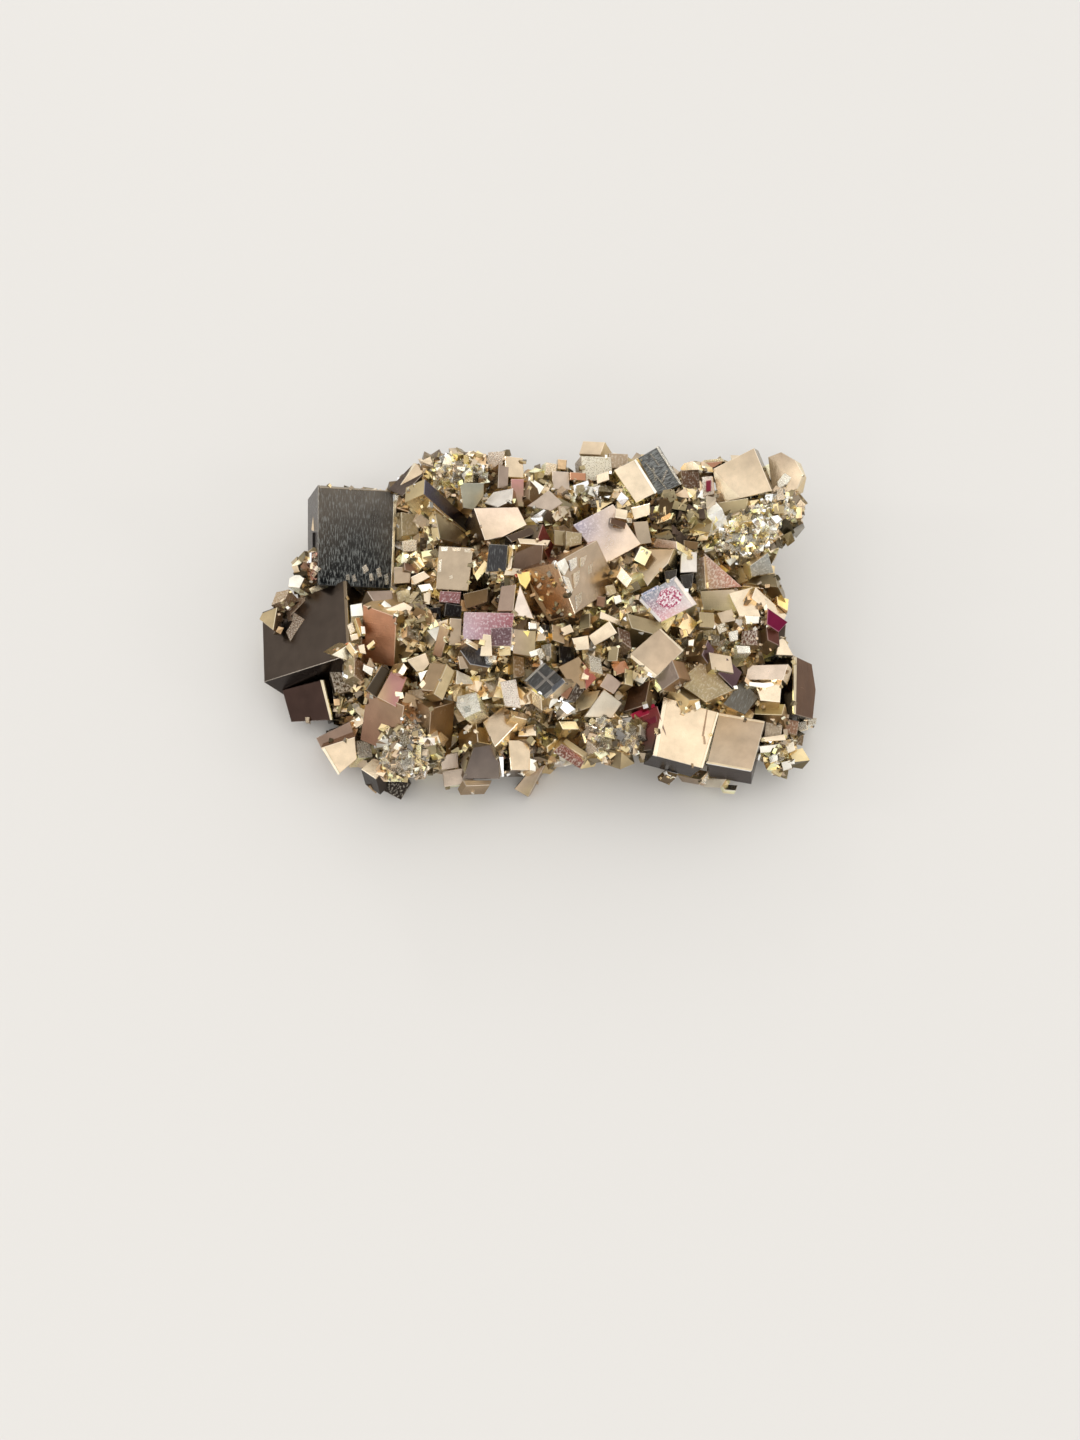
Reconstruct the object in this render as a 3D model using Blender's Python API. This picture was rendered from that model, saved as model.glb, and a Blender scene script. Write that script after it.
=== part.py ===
"""A pyrite specimen: brass-coloured cubes grown through one another on a lump of massive ore.

The cluster grew as one piece, so it is one closed solid, cut flat underneath where it rests.
The crystals of the side that shows are laid out by hand on a picture plane, square to the line
of sight, and seated on the lump at a stated height. The back, the ends and the skirt carry
crystals from a seeded draw, so the specimen is finished all round.
"""
import itertools
import math
import random
from typing import NamedTuple, Optional

import bmesh
import bpy
from mathutils import Matrix, Vector
from mathutils.bvhtree import BVHTree

MM = 0.001

# Sizes of the specimen, in millimetres
MATRIX_HALF_LENGTH = 41.0
MATRIX_HALF_DEPTH = 27.5
MATRIX_MIDDLE = (0.73, 0.8)
MATRIX_FULLNESS = 3.2
MATRIX_SECTORS = 26
TUCK_STEP = 0.05
CREVICE_DEPTH = 2.6
CREVICE_REACH = 3.5
CREVICE_BEARINGS = 8
SKIN_ROUGHNESS = 0.7
GROUND_SIZE = 200.0
GROUND_DEPTH = 40.0
LUMP_CORE = Vector((0.73, 0.8, 4.0))

# Rings of the lump's skin: level over the base, and share of the oblong that they fill. The top
# rings have no level of their own and lie under the crystals.
WALL_RINGS = ((-4.0, 0.92), (2.5, 0.95), (6.5, 0.94))
TOP_RINGS = (0.90, 0.78, 0.64, 0.48, 0.32, 0.15)

# Rows of crystals on the sides that the layout doesn't show: first and last bearing in radians,
# level over the base, tries and edge length
SKIRTS = (
    (0.02, 3.12, 11.5, 15, 6.0),
    (-0.15, 3.30, 7.0, 18, 7.0),
    (-0.30, 3.45, 2.5, 16, 8.0),
    (3.25, 6.15, 6.0, 22, 6.0),
    (3.25, 6.15, 2.0, 22, 5.0),
    (-0.70, 0.40, 5.5, 16, 5.0),
    (2.70, 3.90, 5.0, 16, 5.0),
)
SKIRT_INSET = 0.93
SKIRT_SCATTER = 1.2
DRUSE_FALL = 1.5
GOLDEN_TURN = 2.4
SEED = 24

# The line of sight on which the showing side is laid out, in millimetres and degrees
PICTURE_DISTANCE = 173.3
PICTURE_RISE = 17.5
EYE_PITCH = 65.8
MIDDLE = Vector((0.73, -2.7, 13.0))

# Pale brass of a fresh pyrite face
PYRITE_COLOUR = (0.62, 0.53, 0.38, 1.0)
PYRITE_ROUGHNESS = 0.24

pitch = math.radians(EYE_PITCH)
LOOK = Vector((0.0, math.cos(pitch), -math.sin(pitch)))
RISE = Vector((0.0, math.sin(pitch), math.cos(pitch)))
ACROSS = Vector((1.0, 0.0, 0.0))


def sight_line(point: tuple[float, float]) -> Vector:
    """The line from the eye through a point of the picture plane, whose own length reaches it."""
    across, up = point
    return LOOK * PICTURE_DISTANCE + ACROSS * across + RISE * (PICTURE_RISE + up)


EYE = MIDDLE - sight_line((0.0, 0.0))


def at_height(point: tuple[float, float], height: float) -> Vector:
    """Where the sight line through a picture point comes down to a height over the base."""
    line = sight_line(point)
    return EYE + line * ((height - EYE.z) / line.z)


class Crystal(NamedTuple):
    """One cube or block, by the face that shows best.

    corner, side and foot are three corners of that face on the picture plane, in millimetres
    right of and above its middle: side ends one edge from the corner, and foot the other.
    height is that of the face's middle over the base, and depth how far the block runs back.
    near is 1 where the foot is the nearer end of its edge, and -1 where it is the farther.
    ratio is the true length of the side edge over that of the foot edge. Without it a face that
    looks oblong is taken for one nearer to a square, seen aslant.
    """

    name: str
    corner: tuple[float, float]
    side: tuple[float, float]
    foot: tuple[float, float]
    height: float
    depth: float
    near: int = 1
    ratio: Optional[float] = None


LEFT_END = [
    Crystal("slate_cube", (-37.0, 21.5), (-24.2, 20.8), (-37.6, 5.2), 15.5, 12.0, 1, 0.78),
    Crystal("dark_cube", (-46.7, 0.8), (-32.8, 5.8), (-46.0, -11.2), 11.0, 13.0, 1, 1.2),
    Crystal("lower_cube", (-36.5, -10.8), (-42.6, -12.6), (-35.0, -16.6), 5.5, 7.0, 1, 1.2),
    Crystal("left_white", (-41.5, 6.5), (-39.4, 6.2), (-42.2, 4.6), 13.0, 3.5),
    Crystal("left_fin", (-43.8, 1.3), (-46.3, 0.6), (-44.3, -1.2), 11.0, 3.0),
    Crystal("flash", (-31.7, -5.2), (-34.6, -6.9), (-31.2, -7.0), 14.5, 4.0),
    Crystal("collar_white", (-31.8, 1.5), (-29.7, 1.8), (-31.5, -0.4), 17.5, 4.0),
    Crystal("copper_cube", (-29.5, 1.5), (-23.8, -0.2), (-29.8, -7.2), 17.0, 7.5, -1, 0.68),
    Crystal("under_slate", (-27.5, 4.5), (-24.5, 4.3), (-27.3, 1.8), 18.3, 5.0),
    Crystal("cream_chip", (-25.6, 1.0), (-22.7, 2.1), (-24.0, -0.6), 20.0, 4.0),
]

FRONT_LEFT = [
    Crystal("brown_cube", (-29.3, -13.3), (-23.3, -15.7), (-29.8, -20.5), 12.5, 9.0, -1, 0.9),
    Crystal("brown_top", (-24.8, -9.3), (-22.2, -10.2), (-27.0, -13.7), 15.2, 5.0),
    Crystal("olive_strip", (-27.0, -9.5), (-25.0, -8.8), (-28.8, -13.0), 14.0, 3.0, -1, 0.6),
    Crystal("corner_cube", (-37.5, -20.3), (-31.8, -17.5), (-34.2, -26.7), 6.8, 8.5, -1),
    Crystal("pentagon", (-27.8, -23.8), (-25.5, -24.3), (-29.7, -26.2), 5.5, 5.0),
    Crystal("skirt_dark", (-24.6, -26.5), (-21.5, -28.2), (-26.3, -29.4), 3.5, 6.0, -1),
    Crystal("bronze_slab", (-18.3, -15.7), (-14.2, -14.5), (-18.8, -24.8), 12.0, 4.5, -1, 0.5),
    Crystal("orange_side", (-22.3, -13.2), (-18.2, -14.8), (-23.3, -16.2), 14.5, 6.0),
    Crystal("front_beige", (-16.5, -24.7), (-13.7, -23.5), (-16.5, -28.8), 6.5, 6.0, -1),
    Crystal("grey_cube", (-10.7, -21.2), (-4.7, -21.7), (-13.0, -27.7), 8.5, 8.0, -1),
    Crystal("grey_ledge", (-13.0, -27.5), (-10.3, -27.7), (-13.0, -28.5), 7.0, 5.0, -1, 2.6),
    Crystal("champagne_block", (-5.5, -20.8), (-1.7, -20.8), (-5.2, -25.7), 10.0, 6.5),
    Crystal("block_white", (-1.7, -23.8), (-0.5, -24.2), (-1.8, -25.7), 9.2, 3.5),
    Crystal("beige_slab", (-6.2, -15.2), (-3.2, -18.0), (-9.7, -18.8), 13.2, 4.5),
    Crystal("beige_left", (-10.8, -16.3), (-9.3, -17.8), (-10.3, -21.2), 12.0, 4.0),
    Crystal("cream_ledge", (-4.8, -16.0), (-1.8, -17.0), (-5.0, -17.0), 14.2, 3.0, 1, 2.8),
    Crystal("silver_tall", (-6.7, -11.0), (-4.0, -10.8), (-5.8, -15.2), 16.8, 5.5),
    Crystal("silver_cube", (-14.2, -13.8), (-10.7, -12.8), (-13.0, -17.2), 16.3, 4.5),
    Crystal("tan_cube", (-13.5, -6.8), (-11.8, -6.8), (-13.3, -8.8), 19.0, 4.0),
    Crystal("silver_bit", (-13.8, -9.5), (-12.0, -10.9), (-14.4, -11.5), 18.0, 4.0),
    Crystal("long_tan", (-18.3, -8.0), (-15.7, -8.2), (-19.8, -12.5), 18.8, 6.0),
    Crystal("long_khaki", (-15.3, -8.0), (-13.8, -9.4), (-17.8, -13.2), 17.6, 4.0),
    Crystal("cream_kite", (-19.0, -6.3), (-22.2, -7.5), (-18.7, -9.5), 18.3, 5.0),
    Crystal("front_spike", (-2.2, -30.3), (-4.2, -29.2), (0.2, -26.2), 3.5, 6.0),
]

FRONT_MIDDLE = [
    Crystal("red_roof", (3.3, -20.5), (7.7, -23.7), (2.2, -22.6), 9.5, 6.0, -1),
    Crystal("gold_facet", (1.2, -22.0), (3.3, -20.3), (1.5, -22.8), 9.5, 4.0, -1, 2.6),
    Crystal("yellow_cream", (3.2, -17.7), (6.0, -17.7), (3.8, -19.0), 13.0, 3.0),
    Crystal("roof_bit", (7.5, -20.8), (9.8, -22.7), (7.8, -22.9), 11.0, 3.0, -1, 1.4),
    Crystal("orange_foot", (14.5, -22.5), (12.0, -23.3), (13.8, -24.8), 6.2, 5.0, -1),
    Crystal("grey_facet", (10.7, -12.2), (13.9, -14.7), (7.3, -16.9), 14.3, 6.0),
    Crystal("khaki_bit", (7.5, -12.5), (9.3, -13.3), (5.8, -14.8), 15.0, 5.0),
    Crystal("cream_sliver", (2.7, -13.3), (3.2, -14.2), (1.2, -14.7), 15.2, 4.0),
    Crystal("beige_bit", (-1.5, -12.5), (0.2, -13.7), (-1.3, -14.8), 16.8, 2.5, -1),
    Crystal("gridded_cube", (0.7, -7.8), (4.2, -10.8), (-2.7, -10.8), 18.2, 7.0),
    Crystal("red_gable", (6.5, -6.7), (9.3, -10.3), (3.0, -8.7), 17.5, 7.0),
    Crystal("grey_white", (8.2, -6.7), (10.2, -7.2), (8.5, -9.3), 18.6, 5.0),
    Crystal("orange_tan", (11.8, -8.2), (14.2, -7.5), (12.7, -10.0), 17.2, 5.0),
    Crystal("green_bit", (11.5, -5.2), (13.2, -5.2), (11.2, -7.7), 19.4, 5.0),
    Crystal("beige_stub", (14.2, -8.8), (15.5, -9.2), (14.2, -11.5), 17.0, 5.0),
    Crystal("pink_stub", (11.3, -9.3), (13.7, -11.3), (10.0, -11.3), 16.0, 5.0),
    Crystal("brown_stub", (14.8, -12.5), (18.0, -12.2), (13.8, -15.3), 13.8, 4.0),
    Crystal("crimson_cube", (15.2, -16.5), (19.5, -14.8), (17.0, -22.7), 11.5, 7.0),
    Crystal("cream_bar", (5.3, -4.2), (11.5, -1.0), (6.0, -5.7), 20.0, 4.0, 1, 3.6),
    Crystal("tan_diamond", (19.8, -2.0), (24.0, -5.8), (14.5, -6.8), 20.0, 8.0),
    Crystal("mauve_brown", (22.0, -7.5), (23.0, -10.2), (19.4, -9.4), 18.6, 3.5, -1),
]

FRONT_RIGHT = [
    Crystal("twin_left", (20.7, -13.7), (29.8, -16.2), (18.7, -22.8), 12.5, 5.5, 1, 0.9),
    Crystal("twin_right", (29.9, -16.0), (37.5, -17.5), (27.8, -24.2), 12.0, 6.0, 1, 0.82),
    Crystal("khaki_cube", (27.2, -7.5), (32.0, -12.7), (22.8, -10.2), 14.8, 5.0),
    Crystal("purple_cube", (31.8, -7.3), (33.7, -9.5), (30.0, -9.7), 16.3, 4.0),
    Crystal("etched_cube", (33.7, -10.8), (36.5, -13.8), (31.3, -14.2), 12.5, 6.0),
    Crystal("pink_white", (35.0, -8.2), (41.0, -8.5), (34.3, -10.8), 14.2, 4.5),
    Crystal("pink_white_low", (35.3, -11.5), (39.7, -11.0), (36.6, -14.3), 13.8, 4.0, 1, 1.4),
    Crystal("right_cube", (42.5, -6.8), (45.6, -8.2), (42.3, -16.2), 10.0, 8.0, 1, 0.5),
    Crystal("gold_ledge", (36.2, -14.8), (40.7, -15.0), (35.9, -16.6), 12.0, 4.0, 1, 2.2),
    Crystal("fragment_plate", (20.8, -26.0), (26.8, -28.0), (20.6, -26.9), 5.6, 5.0, -1, 5.0),
    Crystal("fragment_grey", (27.2, -27.2), (33.0, -28.2), (27.2, -28.5), 4.8, 5.0, -1, 4.0),
    Crystal("tip_upper", (45.0, -17.0), (46.3, -17.8), (44.4, -18.5), 5.0, 6.0),
    Crystal("tip_lower", (43.3, -17.8), (44.4, -18.2), (43.2, -19.3), 6.0, 5.0),
    Crystal("brown_ledge", (40.8, -17.2), (43.2, -17.7), (40.5, -19.5), 8.8, 5.0, 1, 1.0),
    Crystal("cream_flake", (36.7, -21.8), (39.2, -21.5), (36.7, -23.0), 8.0, 5.0),
    Crystal("side_ledge", (37.7, -17.8), (40.5, -18.2), (37.2, -20.7), 9.8, 6.0),
]

MIDDLE_LEFT = [
    Crystal("purple_slab", (-12.8, 0.5), (-4.3, 0.3), (-13.0, -4.2), 21.0, 8.0),
    Crystal("purple_square", (-8.0, -2.2), (-4.8, -2.0), (-8.0, -5.3), 22.2, 6.0),
    Crystal("white_post", (-9.5, -3.2), (-8.2, -3.3), (-9.8, -6.7), 22.2, 5.0),
    Crystal("yellow_grey", (-4.5, -2.3), (-0.7, -2.8), (-4.5, -6.5), 20.3, 6.0),
    Crystal("grey_stub", (0.2, -5.0), (1.8, -4.7), (0.2, -7.5), 19.0, 4.0),
    Crystal("beige_bead", (-0.5, -2.7), (1.2, -2.5), (-0.8, -4.3), 20.2, 4.0),
    Crystal("white_bead", (-1.8, -1.2), (-0.5, -1.3), (-1.8, -2.3), 21.2, 4.0),
    Crystal("tan_bead", (2.0, -1.5), (4.0, -2.2), (2.2, -4.2), 19.2, 5.0),
    Crystal("white_bar", (-12.2, -3.8), (-10.2, -5.0), (-12.3, -4.9), 21.2, 2.5, 1, 2.0),
    Crystal("lilac_brown", (-16.7, -1.2), (-15.2, -2.5), (-18.2, -6.7), 19.3, 4.0, -1),
    Crystal("tan_post", (-15.0, -0.5), (-13.0, -0.7), (-15.2, -5.0), 20.2, 5.0),
    Crystal("textured_square", (-16.8, 11.5), (-11.5, 10.8), (-17.7, 4.3), 21.0, 7.0, 1, 0.68),
    Crystal("cream_left", (-21.5, 6.3), (-19.3, 7.3), (-20.8, 4.8), 19.3, 5.0),
    Crystal("grey_beige", (-24.3, 8.0), (-21.5, 8.0), (-24.3, 5.2), 17.5, 6.0),
    Crystal("mauve_bit", (-22.7, 8.8), (-20.0, 8.5), (-22.5, 6.8), 18.0, 5.0),
    Crystal("white_cream", (-20.0, 5.2), (-18.3, 5.3), (-19.5, 3.7), 19.3, 4.0),
    Crystal("brown_bit", (-12.8, 3.8), (-8.8, 4.5), (-12.7, 0.8), 20.2, 6.0),
    Crystal("small_slate", (-8.5, 11.8), (-5.3, 11.7), (-9.0, 7.2), 21.3, 7.0),
    Crystal("brown_square", (-4.2, 12.5), (0.5, 11.7), (-4.8, 7.7), 21.6, 7.0),
    Crystal("gold_flash", (-3.8, 7.0), (-1.7, 7.4), (-2.6, 4.2), 22.0, 4.0),
    Crystal("lilac_tan", (-6.7, 4.5), (-4.2, 4.8), (-7.2, 0.7), 21.8, 5.0),
    Crystal("white_wedge", (-4.0, 3.8), (-1.8, 3.5), (-4.5, -0.2), 22.2, 3.5, -1, 0.56),
]

MIDDLE_RIGHT = [
    Crystal("taupe_cube", (2.7, 8.8), (9.3, 12.3), (5.6, 1.0), 22.6, 9.5, -1, 1.15),
    Crystal("rose_slab", (12.0, 18.7), (16.7, 12.0), (5.3, 15.0), 21.6, 7.0),
    Crystal("rose_rider", (12.7, 17.8), (14.7, 17.5), (12.5, 16.2), 24.0, 4.5, 1, 0.9),
    Crystal("cream_block", (15.5, 18.0), (18.3, 18.7), (15.5, 15.8), 21.0, 5.0),
    Crystal("cream_block_low", (15.3, 15.7), (18.0, 15.7), (16.0, 11.7), 20.2, 5.0),
    Crystal("tan_kite", (17.2, 11.2), (23.0, 11.0), (14.7, 6.2), 21.0, 6.0),
    Crystal("silver_cream", (23.3, 10.5), (26.2, 10.5), (23.2, 7.0), 20.3, 5.0, 1, 0.7),
    Crystal("cream_dart", (13.7, 8.0), (15.7, 6.0), (12.5, 6.3), 21.3, 4.0),
    Crystal("pink_cube", (22.7, 6.5), (25.8, 2.0), (16.8, 3.2), 21.0, 6.5),
    Crystal("salmon_wedge", (27.3, 10.3), (33.6, 4.6), (26.5, 4.5), 17.4, 5.0),
    Crystal("blue_grey", (35.3, 9.3), (39.1, 9.9), (34.5, 4.7), 16.4, 6.0, -1),
    Crystal("khaki_edge", (36.4, 5.6), (38.9, 5.0), (36.1, 2.8), 15.8, 4.0, -1),
    Crystal("right_cream", (31.5, 3.6), (35.8, 4.5), (33.1, -0.6), 17.8, 6.0),
    Crystal("right_ridge", (36.0, 4.3), (41.0, 0.0), (35.2, 2.8), 17.0, 5.0, 1, 3.4),
    Crystal("magenta_cube", (37.8, 1.3), (41.2, -0.9), (37.9, -1.2), 17.2, 6.0),
    Crystal("red_brown", (33.5, -2.5), (35.8, -2.3), (33.3, -4.8), 16.0, 5.0),
    Crystal("beige_right", (29.3, 0.3), (31.7, 0.8), (30.2, -1.5), 18.2, 5.0),
    Crystal("cream_right", (39.8, -3.6), (41.6, -4.8), (39.3, -6.6), 13.0, 5.0),
    Crystal("white_right", (33.0, -5.2), (34.8, -5.2), (33.2, -6.4), 16.0, 4.0),
    Crystal("khaki_right", (26.5, 0.5), (29.0, 0.3), (26.7, -2.0), 18.6, 5.0),
    Crystal("plum_slab", (28.0, -4.2), (29.2, -5.8), (27.0, -6.7), 17.2, 5.0),
    Crystal("beige_low", (28.2, -6.2), (31.8, -6.8), (28.7, -9.0), 17.3, 5.0),
    Crystal("khaki_slab", (14.3, 0.5), (20.2, -1.2), (15.0, -2.2), 20.0, 5.0),
    Crystal("dark_slab", (13.0, -1.8), (17.0, -3.2), (13.3, -4.2), 20.6, 5.0),
    Crystal("olive_bit", (6.7, 0.3), (8.3, 0.7), (6.5, -2.3), 19.8, 5.0),
]

TOP_LEFT = [
    Crystal("indigo_blade", (-19.2, 22.5), (-11.0, 15.5), (-19.7, 20.2), 19.8, 4.0, 1, 4.2),
    Crystal("champagne_strip", (-20.8, 25.3), (-19.2, 23.8), (-24.0, 20.7), 17.3, 3.8, -1, 0.9),
    Crystal("orange_face", (-20.0, 18.0), (-18.2, 18.6), (-19.8, 15.0), 19.6, 5.0),
    Crystal("khaki_left", (-23.2, 17.0), (-20.0, 17.2), (-23.2, 11.0), 16.8, 6.0),
    Crystal("cream_patch", (-23.5, 14.2), (-20.8, 13.3), (-23.0, 11.5), 18.0, 4.0),
    Crystal("green_wedge", (-13.5, 22.0), (-9.3, 22.0), (-13.0, 17.8), 20.0, 6.0),
    Crystal("cream_shard", (-7.5, 27.3), (-5.8, 27.2), (-9.0, 25.5), 17.6, 4.5),
    Crystal("beige_block", (-5.8, 26.5), (-2.8, 26.2), (-5.7, 23.0), 18.2, 6.0),
    Crystal("mauve_slab", (-6.8, 25.0), (-5.2, 24.7), (-7.0, 21.2), 19.0, 3.0, 1, 0.45),
    Crystal("pink_face", (-5.0, 22.8), (-2.7, 22.8), (-5.0, 17.8), 20.4, 4.0, 1, 0.48),
    Crystal("striped_face", (-8.7, 20.2), (-4.7, 20.8), (-8.7, 18.0), 20.3, 6.0),
    Crystal("cream_face", (-10.8, 18.0), (-3.3, 18.2), (-9.2, 12.7), 21.8, 7.0),
    Crystal("scoop", (-2.0, 22.7), (0.7, 20.2), (-2.2, 19.3), 19.7, 2.0),
    Crystal("beige_roof", (1.5, 21.0), (2.7, 19.8), (-2.5, 17.7), 20.8, 4.0),
    Crystal("red_triangle", (0.5, 15.5), (2.3, 11.7), (-0.3, 13.2), 20.8, 4.0),
    Crystal("grey_green", (2.3, 14.2), (4.2, 14.0), (2.3, 11.7), 20.5, 5.0),
    Crystal("khaki_mid", (4.3, 14.0), (7.0, 13.7), (4.3, 11.2), 21.8, 5.0),
    Crystal("dark_roof", (-5.8, 13.2), (-1.7, 14.7), (-4.7, 12.2), 22.3, 4.0),
]

TOP_RIGHT = [
    Crystal("tan_square", (3.0, 26.0), (4.5, 25.8), (2.8, 24.3), 17.2, 4.0),
    Crystal("pinkish_tan", (2.0, 24.0), (4.7, 23.8), (2.2, 21.0), 18.0, 5.0),
    Crystal("cream_bits", (1.0, 25.5), (2.8, 25.2), (0.8, 23.3), 17.2, 4.0),
    Crystal("tan_strip", (5.0, 23.8), (7.7, 23.7), (5.0, 22.5), 18.6, 5.0),
    Crystal("top_beige", (7.2, 29.0), (10.7, 28.8), (6.3, 26.8), 16.6, 6.0),
    Crystal("mauve_top", (11.3, 27.2), (14.6, 27.0), (11.5, 24.5), 17.2, 5.0),
    Crystal("striated_block", (6.7, 26.7), (11.8, 26.5), (7.0, 22.5), 17.8, 6.0),
    Crystal("cream_rider", (9.3, 23.3), (11.3, 24.0), (9.5, 21.8), 19.4, 4.0),
    Crystal("cream_rectangle", (15.7, 26.0), (19.3, 20.3), (12.2, 24.3), 19.2, 6.0),
    Crystal("scratched_cube", (19.8, 28.3), (23.8, 22.0), (16.0, 26.5), 18.6, 7.0),
    Crystal("brown_arc", (23.3, 25.2), (26.5, 25.2), (23.5, 21.0), 18.0, 6.0),
    Crystal("copper_strip", (27.0, 25.3), (30.7, 25.7), (27.0, 23.9), 17.0, 5.0),
    Crystal("plum_cube", (25.2, 19.2), (27.8, 19.0), (25.2, 16.8), 19.4, 5.0),
    Crystal("big_beige", (35.7, 27.8), (38.3, 21.2), (28.8, 24.0), 17.6, 6.0, -1),
    Crystal("red_patch", (28.0, 22.3), (30.2, 22.5), (28.3, 19.3), 18.8, 5.0),
    Crystal("brown_gold", (30.3, 18.5), (33.6, 18.6), (31.0, 16.0), 17.6, 6.0),
    Crystal("round_beige", (38.0, 26.0), (42.7, 24.7), (37.0, 22.2), 16.2, 6.0),
    Crystal("khaki_tip", (41.5, 23.8), (43.7, 22.7), (41.2, 21.0), 13.2, 5.0),
]

SHOWING = (
    LEFT_END + FRONT_LEFT + FRONT_MIDDLE + FRONT_RIGHT + MIDDLE_LEFT + MIDDLE_RIGHT + TOP_LEFT + TOP_RIGHT
)


class Druse(NamedTuple):
    """A patch of small crystals grown together: its middle, radii, height, count and size."""

    name: str
    middle: tuple[float, float]
    across: float
    up: float
    height: float
    count: int
    size: float


DRUSES = [
    Druse("knob", (-36.7, 7.6), 1.8, 2.0, 13.0, 5, 2.8),
    Druse("front_druse", (-22.2, -22.3), 2.9, 4.6, 11.8, 10, 3.6),
    Druse("dome", (-13.7, 23.3), 3.7, 2.3, 18.0, 10, 3.4),
    Druse("middle_druse", (12.0, -19.8), 3.7, 2.2, 12.0, 8, 3.3),
    Druse("olive_field", (22.3, 15.6), 3.6, 2.8, 18.8, 9, 3.4),
    Druse("right_field", (34.6, 13.3), 4.5, 3.2, 16.3, 10, 4.0),
    Druse("edge_field", (39.2, 17.4), 2.5, 2.2, 14.8, 6, 3.3),
    Druse("right_druse", (39.3, -22.0), 2.3, 2.3, 6.5, 6, 3.2),
    Druse("left_druse", (-20.6, -1.2), 2.0, 3.0, 17.2, 5, 3.0),
]


def face_frame(crystal: Crystal) -> tuple[Vector, Vector, Vector, Vector]:
    """Stand a crystal in space from the outline of its showing face.

    The two edges of a true face meet at a right angle. So what each gains towards the eye
    follows from their seen lengths, the angle between them and the ratio of their true lengths.
    Returns the face's middle, its two edges and the unit vector that points out of it.
    """
    middle = tuple((s + f) / 2 for s, f in zip(crystal.side, crystal.foot))
    centre = at_height(middle, crystal.height)
    toward = (EYE - centre).normalized()

    def seen_edge(end: tuple[float, float]) -> Vector:
        """An edge from the corner to a picture point, square to the sight line at the face."""
        start_line = sight_line(crystal.corner)
        end_line = sight_line(end)
        reach = (centre - EYE).dot(toward)
        return end_line * (reach / end_line.dot(toward)) - start_line * (reach / start_line.dot(toward))

    side = seen_edge(crystal.side)
    foot = seen_edge(crystal.foot)
    skew = side.dot(foot)
    ratio = crystal.ratio or math.sqrt(side.length / foot.length)
    short = ratio ** 2 * foot.length_squared - side.length_squared
    side_gain = math.sqrt((short + math.hypot(short, 2 * ratio * skew)) / 2)
    spare = -short / ratio ** 2
    foot_gain = math.sqrt((spare + math.hypot(spare, 2 * skew / ratio)) / 2)
    side += toward * side_gain * crystal.near * (-1 if skew >= 0 else 1)
    foot += toward * foot_gain * crystal.near
    normal = side.cross(foot).normalized()
    if normal.dot(toward) < 0:
        normal.negate()
    return centre, side, foot, normal


def add_block(mesh: bmesh.types.BMesh, centre: Vector, edges: tuple[Vector, Vector, Vector]) -> None:
    """Add a block with its middle at centre, whose three edges are given as vectors."""
    frame = Matrix(edges).transposed().to_4x4()
    if frame.determinant() < 0:
        frame.col[0].negate()
    bmesh.ops.create_cube(mesh, size=1.0, matrix=Matrix.Translation(centre) @ frame)


def add_crystal(mesh: bmesh.types.BMesh, crystal: Crystal) -> None:
    """Add a hand-placed crystal, which runs back from its showing face."""
    face, side, foot, normal = face_frame(crystal)
    add_block(mesh, face - normal * (crystal.depth / 2), (side, foot, normal * crystal.depth))


def random_turn(rng: random.Random) -> Matrix:
    """An even draw among all the ways a cube can be turned."""
    axis = Vector((rng.gauss(0, 1), rng.gauss(0, 1), rng.gauss(0, 1))).normalized()
    return Matrix.Rotation(rng.uniform(0, math.tau), 3, axis)


def cube_edges(size: float, rng: random.Random) -> tuple[Vector, Vector, Vector]:
    """The three edges of a crystal that is turned at random, a little uneven in length."""
    turn = random_turn(rng)
    return tuple(turn.col[axis] * size * rng.uniform(0.8, 1.2) for axis in range(3))


def block_lattice(centre: Vector, edges: tuple[Vector, Vector, Vector]) -> list[Vector]:
    """The corners of a block and the middles between them."""
    signs = itertools.product((-0.5, 0.0, 0.5), repeat=3)
    return [centre + sum((edge * sign for edge, sign in zip(edges, spot)), Vector()) for spot in signs]


def add_druse(mesh: bmesh.types.BMesh, druse: Druse, rng: random.Random) -> None:
    """Add a patch of small crystals round a middle on the picture plane, highest at the middle."""
    for index in range(druse.count):
        angle = index * GOLDEN_TURN + rng.uniform(-0.4, 0.4)
        spread = math.sqrt((index + 0.5) / druse.count)
        across = druse.middle[0] + druse.across * spread * math.cos(angle)
        up = druse.middle[1] + druse.up * spread * math.sin(angle)
        centre = at_height((across, up), druse.height - DRUSE_FALL * spread ** 2)
        add_block(mesh, centre, cube_edges(druse.size * rng.uniform(0.8, 1.15), rng))


def matrix_point(bearing: float, level: float, inset: float) -> Vector:
    """A point of the ore lump's skin: an oblong with full corners, drawn in by inset."""
    power = 2 / MATRIX_FULLNESS
    across = math.copysign(abs(math.cos(bearing)) ** power, math.cos(bearing))
    deep = math.copysign(abs(math.sin(bearing)) ** power, math.sin(bearing))
    return Vector((
        MATRIX_HALF_LENGTH * inset * across + MATRIX_MIDDLE[0],
        MATRIX_HALF_DEPTH * inset * deep + MATRIX_MIDDLE[1],
        level,
    ))


def is_hidden(point: Vector, *screens: BVHTree) -> bool:
    """Whether any of the shapes stands between the eye and a point."""
    line = point - EYE
    return any(screen.ray_cast(EYE, line.normalized(), line.length)[0] is not None for screen in screens)


def tucked_in(point: Vector, crystals: BVHTree) -> Vector:
    """Draw a point of the lump's wall in towards its core until the crystals hide it."""
    drawn_in = 0.0
    while drawn_in < 1.0 and not is_hidden(point, crystals):
        point = point.lerp(LUMP_CORE, TUCK_STEP)
        drawn_in += TUCK_STEP
    return point


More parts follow.
